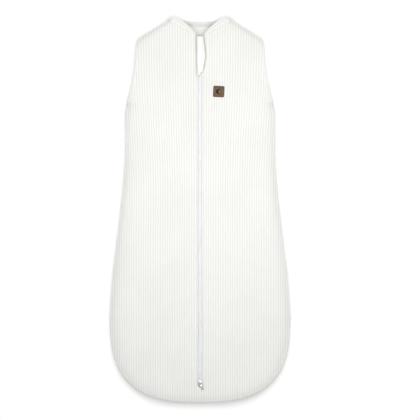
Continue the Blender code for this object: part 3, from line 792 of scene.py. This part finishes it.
def front_fabric_grid(side):
    """Points of one half of the front's outer fabric, and their lightness: the ribs' share of their full
    height, with painted shade in the flap's ditches and where the front is pressed in.
    """
    y = fabric_rows()
    inner, outer = front_inner_x(y, side), half_width(y)
    slit = np.where(y < SLIT_END + SLIT_HALF, np.minimum(inner / SLIT_HALF, 1.0), 1.0)
    turned = [inner + step * slit * seam_room(inner, outer) for step, _ in TURNED_EDGE]
    x, rows = fabric_grid(y, inner, outer, turned, 0.0022 * slit), y[:, None]
    height, share = rib_height(x, rows)
    drop = np.zeros_like(x)
    for column, (_, depth) in enumerate(TURNED_EDGE):
        drop[:, column] = depth * slit
        height[:, column] *= 0.3
    flat_edge = smooth((half_width(rows) - x) / 0.004)
    relief = front_relief(side * x, rows) * flat_edge
    ditch = flap_ditch(side * x, rows)
    z = front_z(x, rows) + height * (0.35 + 0.65 * flat_edge) + relief - ditch + drop
    # Painted shade in the ditches beside the guard flap's edges.
    share *= 1 - 0.95 * np.clip(ditch / FLAP_DITCH, 0.0, 1.0)
    # Painted shade where the front is pressed in deepest, mostly the armpit's notch, the side seam and the
    # creases.
    share *= 1 - 0.9 * smooth((-relief - 0.0016) / 0.003)
    z[:, -1] = SEAM_Z + SEAM_GAP / 2
    z[-1] = SEAM_Z + SEAM_GAP / 2
    return points_at(side * x, rows, z), share


def make_front_fabric(word, side, look):
    """The ribbed fabric of one half of the front, from its edge turned in at the zip to the outer seam."""
    points, share = front_fabric_grid(side)
    faces = grid_faces(*points.shape[:2])
    made = make_piece(f"{word}_front_fabric", points, faces, look, up=1, rib=share)
    attach(made, word, (f"{word}_side_outer", f"{word}_lapel_outer"))


def lining_rows():
    """The fabric's rows at the neck, and every third one below."""
    rows = fabric_rows()
    return np.concatenate([rows[rows >= BACK_NECK_Y], rows[rows < BACK_NECK_Y][::3][:-1]])


def lining_steps(y, inner, outer):
    """Columns of an inner layer: close together across the fold and at the outer end."""
    run = (FOLD_TO.x - FOLD_FROM.x) / (FOLD_TO.y - FOLD_FROM.y)
    fold = FOLD_FROM.x + (y - FOLD_FROM.y) * run
    low = np.clip(fold - 1.05 * FOLD_WIDTH, inner, outer)[:, None]
    high = np.clip(fold + 0.05 * FOLD_WIDTH, inner, outer)[:, None]
    before = inner[:, None] + (low - inner[:, None]) * np.linspace(0, 1, 8)[:-1]
    across = low + (high - low) * np.linspace(0, 1, 13)[:-1]
    beyond = high + (outer[:, None] - high) * np.sin(np.linspace(0, math.pi / 2, 16))
    return np.concatenate([before, across, beyond], axis=1)


def front_depths(x, y, inner):
    """Depths below the front of the wadding's two faces and of the lining.

    The stack thins to the zip's tape and the neckline, and to the outer seam."""
    at_inner = smooth((np.abs(x) - inner) / 0.016)
    at_outer = smooth((half_width(y) - np.abs(x)) / 0.02)
    full = STACK * (0.75 + 0.25 * at_inner) * (0.35 + 0.65 * at_outer)
    return OUTER + GAP, full - 2 * GAP - 0.0005, full


def make_front_inside(word, side, looks):
    """Wadding and lining of one half of the front."""
    y = lining_rows()
    rows = y[:, None]
    layers = []
    for level, from_slit in enumerate((WADDING_INSET, WADDING_INSET, LINING_INSET)):
        inner = np.where(y < SLIT_END - 0.002, 0.0005, front_inner_x(y, side) + from_slit)
        outer = half_width(y) - LAYER_INSET
        inner = np.minimum(inner, outer - 0.001)
        x = lining_steps(y, inner, outer)
        depth = front_depths(x, rows, inner[:, None])[level]
        ripple = 0.0005 * soft_noise(x, rows, 0.02, 0.03, 8) * (0.0, 0.5, 1.0)[level]
        layers.append(points_at(side * x, rows, front_z(x, rows) - 0.0006 - depth + ripple))
    padding = slab(f"{word}_front_padding", layers[0], layers[1], looks["wadding"])
    attach(padding, word, (f"{word}_side_wadding", f"{word}_lapel_wadding"))
    # Painted shade: the front's lining is painted darker than the back's, though both are one cloth.
    faces, painted_lining_lightness = grid_faces(*x.shape), np.full(x.shape, FRONT_LINING_PAINTED_LIGHTNESS)
    cloth = make_piece(f"{word}_front_lining", layers[2], faces, looks["lining"], up=-1, rib=painted_lining_lightness)
    attach(cloth, word, (f"{word}_side_lining", f"{word}_lapel_lining"))


def both_sides(grid):
    """One row-by-row grid over both sides from the grid of the right side."""
    mirrored = grid[:, ::-1] * np.array([-1.0, 1.0, 1.0])
    return np.concatenate([mirrored, grid], axis=1)


def make_back(looks):
    """The back's ribbed fabric, wadding and lining."""
    y = fabric_rows()
    inner, outer = back_neck_x(y), half_width(y)
    x, rows = fabric_grid(y, inner, outer, [inner], 0.0), y[:, None]
    height, share = rib_height(x, rows)
    from_edge = half_width(rows) - x
    lifted = back_z(x, rows)
    relief = 0.0006 * soft_noise(x, rows, 0.02, 0.014, 9)
    relief = relief * smooth(lifted / 0.002) * smooth(from_edge / 0.004)
    right = points_at(x, rows, lifted - height + relief + 0.0001)
    right[:, -1, 2] = SEAM_Z - SEAM_GAP / 2
    right[-1, :, 2] = SEAM_Z - SEAM_GAP / 2
    points = both_sides(right)
    # Painted shade in the ribs' valleys: the lightness follows the ribs' share of their full height.
    shares = np.concatenate([share[:, ::-1], share], axis=1)
    faces = neck_open_faces(points, inner)
    fabric = make_piece("back_fabric", points, faces, looks["outer"], up=-1, rib=shares)
    attach(fabric, "bag", ("back_outer",))
    make_back_inside(looks)


def neck_open_faces(points, inner):
    """Faces over both sides, but none across the neck opening."""
    rows, columns = points.shape[:2]
    middle = columns // 2 - 1
    faces = []
    for face in grid_faces(rows, columns):
        row, column = divmod(face[0], columns)
        if not (column == middle and inner[row] > 0.0):
            faces.append(face)
    return faces


def make_back_inside(looks):
    """The back's wadding and lining, which swell a little in the neck opening."""
    y = lining_rows()
    outer = half_width(y) - LAYER_INSET
    inner = np.minimum(back_neck_x(y), outer - 0.001)
    x, rows = lining_steps(y, inner, outer), y[:, None]
    squeeze = 0.35 + 0.65 * smooth((half_width(rows) - x) / 0.02)
    ripple = 0.0007 * soft_noise(x, rows, 0.025, 0.035, 10)
    puff = NECK_PUFF * np.exp(-(((rows - 0.400) / 0.016) ** 2) - (x / 0.045) ** 2)
    base = back_z(x, rows) + 0.0008 + puff
    layers = []
    for depth, share in ((OUTER + GAP, 0.0), (STACK - 0.0011, 0.5), (STACK - 0.0002, 1.0)):
        layers.append(both_sides(points_at(x, rows, base + depth * squeeze + share * ripple)))
    padding = slab("back_padding", layers[1][1:], layers[0][1:], looks["wadding"])
    attach(padding, "bag", ("back_wadding",))
    points = layers[2]
    # Painted light: the back's lining keeps its full colour, brighter than the front's, to offset the shade
    # inside the neck opening.
    faces, painted_lining_lightness = neck_open_faces(points, inner), np.ones(points.shape[:2])
    cloth = make_piece("back_lining_cloth", points, faces, looks["lining"], up=1, rib=painted_lining_lightness)
    attach(cloth, "bag", ("back_lining",))


# Collar and bindings


def collar_band(name, seam, edge, top, depth, full, look):
    """A soft band from seam to edge, as points along it: two puffs with a stitched line between.

    full is 1 where the band has its whole height and less at its ends."""
    turn = around(COLLAR_AROUND)
    across = 0.5 - 0.52 * np.cos(turn)
    from_line = np.abs(across - COLLAR_STITCH_LINE)
    swell, below = np.abs(np.sin(turn)), np.sin(turn) < 0
    line = 0.0007 * np.exp(-((from_line / 0.05) ** 2))
    upper = np.outer(top * full, swell**0.6) - np.outer(full, line)
    sections = seam[:, None] + (edge - seam)[:, None] * across[:, None]
    sections[:, :, 2] += np.where(below, -np.outer(depth, swell**0.5), upper)
    # Painted shade along the stitched line: its points get a lower lightness there.
    shares = np.broadcast_to(np.where((from_line > 0.07) | below, 1.0, 0.4), sections.shape[:2])
    return tube(name, sections, look, closed=False, rib=shares)


def curve_through(points, places):
    """Points of a smooth flat curve through the given ones, at places counted from 0 at the first."""
    stops = -np.arange(len(points), dtype=float)
    table = np.column_stack([stops, points])
    return points_at(*(steady(table, -places, column) for column in (1, 2)))


def make_front_collar(word, side, look):
    """One half of the front collar, a folded band that narrows towards the zip."""
    places = np.linspace(0, len(COLLAR_SEAM) - 1, COLLAR_STATIONS)
    seams, edges = curve_through(COLLAR_SEAM, places), curve_through(COLLAR_EDGE, places)
    from_end = 1 - np.minimum(1.0, places / 0.45)
    full = np.sqrt(np.maximum(1 - from_end**2, 0.004))
    middles = (seams + edges) / 2 + 0.0022 * from_end[:, None] * np.array(COLLAR_END_WAY)
    x, y = (middles + (seams - edges) / 2 * full[:, None]).T
    edge_x, edge_y = 2 * middles.T - (x, y)
    seam = points_at(side * x, y, front_z(x, y) - 0.0002)
    edge_z = front_z(edge_x, np.minimum(edge_y, SHOULDER_END)) - 0.0010
    edge = points_at(side * edge_x, edge_y, edge_z)
    top = COLLAR_TOP + COLLAR_PUCKER * soft_noise(places * 0.02, 0.0, 0.0035, 1.0, 11 + side)
    made = collar_band(f"{word}_collar_band", seam, edge, top, COLLAR_DEPTH * full, full, look)
    attach(made, word, (f"{word}_collar",))


def make_back_collar(look):
    """The collar behind the neck, from shoulder to shoulder, rising to the front's at its ends."""
    x = np.linspace(-BACK_COLLAR_HALF, BACK_COLLAR_HALF, 81)
    share = np.abs(x) / BACK_COLLAR_HALF
    y = BACK_NECK_Y + BACK_NECK_RISE * (x / COLLAR_HALF) ** 2 - 0.0004
    rise = BACK_COLLAR_RISE + BACK_COLLAR_END_RISE * smooth((share - 0.80) / 0.20)
    z = back_z(x, np.minimum(y, SHOULDER_END)) + rise
    full = np.sqrt(np.maximum(1 - np.maximum(0.0, (share - 0.9) / 0.1) ** 2, 0.05))
    edge_y = y + BACK_COLLAR_WIDTH * (0.75 + 0.25 * full)
    seam, edge = points_at(x, y, z), points_at(x * 0.93, edge_y, z + 0.0006)
    top = BACK_COLLAR_TOP + COLLAR_PUCKER * soft_noise(x, 0.0, 0.006, 1.0, 21)
    made = collar_band("back_collar_band", seam, edge, top, z - 0.0002, full, look)
    attach(made, "bag", ("back_collar",))


def make_binding(word, side, look):
    """A narrow band folded over the armhole's edge, all the way round."""
    turn = around(64)
    low, high = BINDING_ENDS
    y = (low + high) / 2 + (high - low) / 2 * np.cos(turn)
    x = half_width(y) - BINDING_INSET
    front, back = front_z(x, y), back_z(x, y)
    lift = ((front - back) / 2 - 0.0006) * power_of(np.sin(turn), 0.55)
    path = points_at(side * x, y, np.maximum((front + back) / 2 + lift, 0.0019))
    sections = sweep(path, *BINDING_RADII, 10, up=(side, 0.0, 0.0), closed=True)
    made = tube(f"{word}_armhole_band", sections, look, rib=np.ones(sections.shape[:2]))
    attach(made, "bag", (f"{word}_armhole_binding",))


# Zip


def make_tape(word, side, look):
    """The woven tape of one side, which dips where the fabric is sewn to it."""
    ys = np.arange(TAPE_ENDS[1], TAPE_ENDS[0], -0.004)
    y = np.append(ys, TAPE_ENDS[0])[:, None]
    x = np.concatenate([np.linspace(0.0002, 0.0034, 5), np.linspace(0.0039, TAPE_HALF, 15)])
    dip = np.interp(x, *np.array(TAPE_PROFILE).T)
    top = points_at(side * x, y, zip_line(y) + TAPE_TOP + dip)
    made = slab(f"{word}_zip_tape", top, top - (0.0, 0.0, TAPE), look)
    attach(made, word, (f"{word}_upper_tape", f"{word}_lower_tape"))


def make_coil(word, side, look):
    """The coil of one side: a flattened helix whose turns mesh with the other side's."""
    length = COIL_ENDS[1] - COIL_ENDS[0]
    turns = int(length / COIL_PITCH)
    offset = COIL_MESH if side > 0 else 0.0
    turn = np.arange(turns * COIL_TURN_POINTS + 1) / COIL_TURN_POINTS
    y = COIL_ENDS[1] - (turn + offset) * length / (turns + 1)
    x = COIL_CENTRE.x + COIL_REACH.x * np.cos(2 * math.pi * turn)
    z = zip_line(y) + COIL_CENTRE.y + COIL_REACH.y * np.sin(2 * math.pi * turn)
    sections = sweep(points_at(side * x, y, z), COIL_WIRE, COIL_WIRE, 5, up=(0.0, 1.0, 0.0))
    made = tube(f"{word}_zip_coil", sections, look, closed=False)
    attach(made, word, (f"{word}_upper_coil", f"{word}_lower_coil"))


def solid_through(rings):
    """A closed bmesh through rings of points."""
    bm = bmesh.new()
    corners = [bm.verts.new(point) for ring in rings for point in ring]
    count = len(rings[0])
    for face in grid_faces(len(rings), count, wrap_columns=True) + end_faces(len(rings), count):
        bm.faces.new([corners[i] for i in face])
    bmesh.ops.recalc_face_normals(bm, faces=bm.faces)
    return bm


def outline_prism(outline, bottom, top, bevel):
    """A bmesh prism with its edges rounded."""
    bm = solid_through([[(x, y, z) for x, y in outline] for z in (bottom, top)])
    rims = [e for e in bm.edges if e.calc_face_angle(0.0) > 0.7]
    bmesh.ops.bevel(bm, geom=rims, offset=bevel, segments=2, profile=0.5, affect="EDGES")
    return bm


def joined(name, parts, look, place):
    """One object from several closed bmeshes."""
    mesh = bpy.data.meshes.new(name)
    whole = bmesh.new()
    for part in parts:
        part.to_mesh(mesh)
        part.free()
        whole.from_mesh(mesh)
    bmesh.ops.transform(whole, matrix=place, verts=whole.verts)
    whole.to_mesh(mesh)
    whole.free()
    mesh.shade_smooth()
    mesh.set_sharp_from_angle(angle=math.radians(50))
    mesh.materials.append(look)
    return add_object(name, mesh)


def bridge():
    """The slider's bridge: a flat bar bent up and down again along y."""
    low, high = BRIDGE_HEIGHTS
    rings = []
    for i in range(17):
        out = Vector((0.0, math.cos(math.pi * i / 16), math.sin(math.pi * i / 16)))
        place = Vector((0.0, BRIDGE_HALF[1] * power_of(out.y, 0.6), low + (high - low) * abs(out.z) ** 0.6))
        half = BRIDGE_HALF[0] * (1.0 + 0.25 * abs(out.y))
        corners = [(Vector((half * x, 0.0, 0.0)), BRIDGE_THICKNESS * depth) for x, depth in BRIDGE_SECTION]
        rings.append([place + across - out * inward for across, inward in corners])
    return solid_through(rings)


def slider_place(y):
    """Where the zip's line is at y, tilted as it slopes there."""
    slope = math.atan2(zip_line(y + 0.001) - zip_line(y - 0.001), 0.002)
    return Matrix.Translation((0.0, y, zip_line(y))) @ Matrix.Rotation(slope, 4, "X")


def slider_outline(outward):
    """Outline of the slider's plates, waisted at its open end, which points outward along y."""
    turn = around(36)
    along = power_of(np.sin(turn), 0.55)
    half = PLATE_HALF_WIDTH + 0.0006 * smooth((along + 0.9) / 1.2) - 0.0009 * smooth((along - 0.2) / 0.8)
    outline = points_at(half * power_of(np.cos(turn), 0.45), outward * SLIDER_HALF * along)
    return outline[::outward]


def bar(x, half, ends, heights, bevel):
    """An upright bar of the slider, across x and between two ends along y."""
    low, high = sorted(ends)
    corners = [(x - half, low), (x + half, low), (x + half, high), (x - half, high)]
    return outline_prism(corners, *heights, bevel)


def make_slider(node, y, outward, look):
    """A slider: plates above and below the coils, the post, the bridge and the flanges."""
    parts = [outline_prism(slider_outline(outward), low, high, 0.0003) for low, high in PLATES]
    post_y = outward * (SLIDER_HALF - POST_INSET)
    post_ends = (post_y - POST_HALF[1], post_y + POST_HALF[1])
    parts.append(bar(0.0, POST_HALF[0], post_ends, POST_HEIGHTS, 0.0001))
    parts.append(bridge())
    flange_ends = [-outward * SLIDER_HALF * share for share in FLANGE_REACH]
    for x in (-FLANGE_X, FLANGE_X):
        parts.append(bar(x, FLANGE_HALF, flange_ends, FLANGE_HEIGHTS, 0.00012))
    made = joined(f"{node}_body", parts, look, slider_place(y))
    attach(made, node, (node,))


def pull_outline():
    """Outline of the pull tab, from its eye down to a round tip, anticlockwise from its right side."""
    turn = around(56)
    along = 0.5 - 0.5 * power_of(np.sin(turn), 0.75)
    half = PULL_HALF_WIDTH - 0.0013 * smooth((along - 0.25) / 0.35) + 0.0004 * smooth((along - 0.7) / 0.3)
    return points_at(half * power_of(np.cos(turn), 0.55), PULL_EYE - PULL_LENGTH * along)


def make_pull(node, y, skew, look):
    """A pull tab: a plate with a window for the bridge and a dished oval near its tip."""
    outer = pull_outline()
    angle = np.arctan2(*(outer - PULL_WINDOW).T[::-1])
    window = PULL_WINDOW + rounded_box(*PULL_WINDOW_HALF, 6, angle)
    outlines = {"window": window, "middle": (outer + window) / 2, "outer": outer}
    dish_y, dish_depth = PULL_DISH
    rings = []
    for level, order in ((1, PULL_RINGS), (-1, PULL_RINGS[::-1])):
        for word, height, drawn_in in order:
            loop = outlines[word]
            from_dish = (loop - (0.0, dish_y)) / (0.0016, 0.0024)
            dish = dish_depth * np.exp(-(from_dish**2).sum(axis=1))
            z = level * (PULL_HALF_THICKNESS * height - dish)
            rings.append(points_at(*(loop + (outlines["middle"] - loop) * drawn_in).T, z))
    made = make_piece(f"{node}_tab", rings, grid_faces(len(rings), len(outer), True, True), look)
    turn = Matrix.Rotation(skew, 4, "Z")
    made.data.transform(slider_place(y) @ Matrix.Translation((0.0, 0.0, PULL_AXIS_Z)) @ turn)
    made.data.set_sharp_from_angle(angle=math.radians(50))
    attach(made, node, (node,))


def finish_stops(look):
    """The zip's stops keep their solids, with rounded edges and the sliders' metal."""
    for word in SIDES:
        for end in ("top", "bottom"):
            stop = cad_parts[f"{word}_{end}_stop"]
            stop.data.materials.clear()
            stop.data.materials.append(look)
            bevel = stop.modifiers.new("round", "BEVEL")
            bevel.width = 0.0003
            bevel.segments = 3


# Guard flap


def make_flap(look):
    """The soft flap over the zip's top: sewn down on its left, free on its right."""
    low, high = FLAP_ROWS[-1][0], FLAP_ROWS[0][0]
    ys = high - (high - low) * (1 - np.cos(np.linspace(0.35, math.pi, 70))) / 2
    ys = np.concatenate([[high], ys[ys < high - 0.0005]])[:, None]
    shares = (1 - np.cos(np.linspace(0, math.pi, 25))) / 2
    left, right = steady(FLAP_ROWS, ys, 1), steady(FLAP_ROWS, ys, 2)
    x = left + (right - left) * shares
    top_edge = smooth((ys - 0.392) / 0.0125)
    y = ys + top_edge * 0.0035 * (np.clip(np.abs(x) / 0.0085, 0, 1) ** 2)
    rise = FLAP_RISE[0] + FLAP_RISE[1] * smooth((y - FLAP_SLIDER_FROM) / 0.012)
    base = zip_line(y) + 0.0004 + rise * np.sin(math.pi * shares**0.75) ** 0.8
    from_side = np.minimum(x - left, right - x)
    stitched = np.exp(-(((from_side - FLAP_STITCH_INSET) / 0.0004) ** 2))
    wall = np.where(x - left < right - x, *FLAP_WALLS)
    puff = FLAP_PUFF * smooth(from_side / wall) ** 0.7 - 0.0003 * stitched
    wrinkle = 0.0003 * soft_noise(x, y, 0.012, 0.006, 31)
    top = points_at(x, y, base + puff + wrinkle * smooth(from_side / 0.003))
    bottom = points_at(x, y, base - 0.0002 * smooth(from_side / 0.0015))
    # Painted shade along the flap's stitched line and on its turned-under edges.
    rib = 1.0 - 0.5 * stitched - 0.9 * np.exp(-((from_side / 0.0009) ** 2))
    made = slab("zip_guard", top, bottom, look, rib=np.concatenate([rib, rib[:, ::-1]], axis=1))
    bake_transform(made)
    attach(made, None, ("zip_guard_flap",))


# Patch


def on_patch(points, height):
    """Points of the patch's own plane, laid on the front at that height above it."""
    turn = np.array(Matrix.Rotation(PATCH_TURN, 2))
    x, y = np.array(PATCH_CENTRE)[:, None] + turn @ np.asarray(points).T
    return points_at(x, y, front_z(x, y) + height)


def make_leather(look):
    """The patch: a thin pillow of leather with a rounded, burnished edge and a stitched-down border."""
    rings = []
    angle = around(96)
    for share, height, _ in LEATHER_PROFILE:
        half = PATCH_SIZE / 2 * max(share, 0.001)
        rings.append(on_patch(rounded_box(half, half, 12, angle), GAP + PATCH_THICKNESS * height))
    burnish = np.repeat([rim for _, _, rim in LEATHER_PROFILE], len(angle))
    made = tube("leather_label", np.array(rings), look, closed=False, rim=burnish)
    attach(made, "right", ("leather_patch",))


def make_stitches(look):
    """A row of separate stitches along each side of the patch."""
    half = STITCH_SIZE / 2
    pitch = STITCH_SIZE / STITCHES_PER_SIDE
    ends = np.linspace(-STITCH_REACH * pitch, STITCH_REACH * pitch, 7)
    radius = STITCH_RADIUS * np.sqrt(np.clip(1.02 - (ends / ends[-1]) ** 4, 0.02, 1.0))
    points = []
    faces = []
    for side in range(4):
        turn = np.array(Matrix.Rotation(side * math.pi / 2, 2))
        for i in range(STITCHES_PER_SIDE):
            flat = points_at(pitch * (i + 0.5) - half + ends, -half)
            path = on_patch(flat @ turn.T, PATCH_THICKNESS + GAP)
            path[:, 2] += 0.0001 - 0.0005 * (np.abs(ends) / ends[-1]) ** 3
            start = len(points)
            faces += grid_faces(len(ends), 6, wrap_columns=True, start=start)
            faces += end_faces(len(ends), 6, start)
            points += sweep(path, radius, radius, 6).reshape(-1, 3).tolist()
    made = make_piece("label_stitches", points, faces, look)
    attach(made, "right", ("patch_stitching",))


def moon_outline(steps=28):
    """A crescent: an arc of the disc, and an arc of the disc that bites it, both from horn to horn."""
    reach = (MOON_RADIUS**2 - MOON_BITE_RADIUS**2 + MOON_BITE_OFFSET**2) / (2 * MOON_BITE_OFFSET)
    horns = (math.acos(reach / MOON_RADIUS), math.acos((reach - MOON_BITE_OFFSET) / MOON_BITE_RADIUS))
    arcs = []
    for radius, centre, horn in zip((MOON_RADIUS, MOON_BITE_RADIUS), (0.0, MOON_BITE_OFFSET), horns):
        angle = np.linspace(horn, 2 * math.pi - horn, steps + 1)
        arcs.append(points_at(centre + radius * np.cos(angle), radius * np.sin(angle)))
    return arcs


def make_emblem(look):
    """A crescent moon stamped into the leather, rounded across its width."""
    shares = (1 - np.cos(np.linspace(0, math.pi, 9))) / 2
    rows = []
    for outer, inner in zip(*moon_outline()):
        row = on_patch(outer + (inner - outer) * shares[:, None], PATCH_THICKNESS + GAP + 0.00005)
        row[:, 2] += MOON_RISE * np.sqrt(np.sin(math.pi * shares).clip(0))
        rows.append(row)
    top = np.array(rows)
    made = slab("moon_emblem", top, top - (0.0, 0.0, MOON_THICKNESS), look)
    attach(made, "right", ("patch_emblem",))


# Stage


def add_light(name, kind, energy, location=(0.0, 0.0, 0.0), tilt=0.0):
    """A light that shines straight down, or is tilted about X; returns its data."""
    data = bpy.data.lights.new(name, kind)
    data.energy = energy
    light = add_object(name, data)
    light.location = location
    light.rotation_euler = (tilt, 0.0, 0.0)
    return data


def make_floor():
    """A wide white floor, just under the bag."""
    half = FLOOR_HALF
    corners = [(x, y, FLOOR_Z) for x, y in ((-half, -half), (half, -half), (half, half), (-half, half))]
    mesh = bpy.data.meshes.new("floor")
    mesh.from_pydata(corners, [], [(0, 1, 2, 3)])
    mesh.materials.append(Surface("floor_white", FLOOR_WHITE, 0.9).made)
    add_object("floor", mesh)


def make_stage():
    """A white floor, a bright sky, soft lights from above, and a camera straight above."""
    make_floor()
    scene = bpy.context.scene
    world = bpy.data.worlds.new("studio")
    world.use_nodes = True
    sky = world.node_tree.nodes["Background"].inputs
    sky["Color"].default_value = (*WHITE, 1.0)
    sky["Strength"].default_value = SKY_STRENGTH
    scene.world = world

    lamp = add_light("window", "AREA", LAMP_ENERGY, location=LAMP_PLACE)
    lamp.shape = "RECTANGLE"
    lamp.size, lamp.size_y = LAMP_SIZE, LAMP_SIZE
    for name, energy, spread, tilt in SUNS:
        add_light(name, "SUN", energy, tilt=math.radians(tilt)).angle = math.radians(spread)

    view = bpy.data.cameras.new("above")
    view.lens = CAMERA_SENSOR * (CAMERA_PLACE[2] - BAG_MIDDLE_Z) / PICTURE_WIDTH
    scene.camera = add_object("above", view)
    scene.camera.location = CAMERA_PLACE
    scene.view_settings.view_transform = "Standard"


def main():
    """Makes the materials, the stage and every piece."""
    looks = {
        "wadding": wadding_material(),
        "tape": tape_material(),
        "coil": coil_material(),
        "metal": metal_material(),
        "leather": leather_material(),
        "thread": thread_material(),
        "emblem": emblem_material(),
    }
    for word, settings in KNITS.items():
        looks[word] = knit_material(f"{word}_knit", *settings)
    make_stage()
    make_back(looks)
    make_back_collar(looks["plain"])
    for word, side in SIDES.items():
        make_front_inside(word, side, looks)
        make_front_fabric(word, side, looks["outer"])
        make_front_collar(word, side, looks["plain"])
        make_binding(word, side, looks["plain"])
        make_tape(word, side, looks["tape"])
        make_coil(word, side, looks["coil"])
    make_flap(looks["flap"])
    make_leather(looks["leather"])
    make_stitches(looks["thread"])
    make_emblem(looks["emblem"])
    for end, (y, outward, skew) in SLIDERS.items():
        make_slider(f"{end}_slider", y, outward, looks["metal"])
        make_pull(f"{end}_pull", y, skew, looks["metal"])
    finish_stops(looks["metal"])


main()
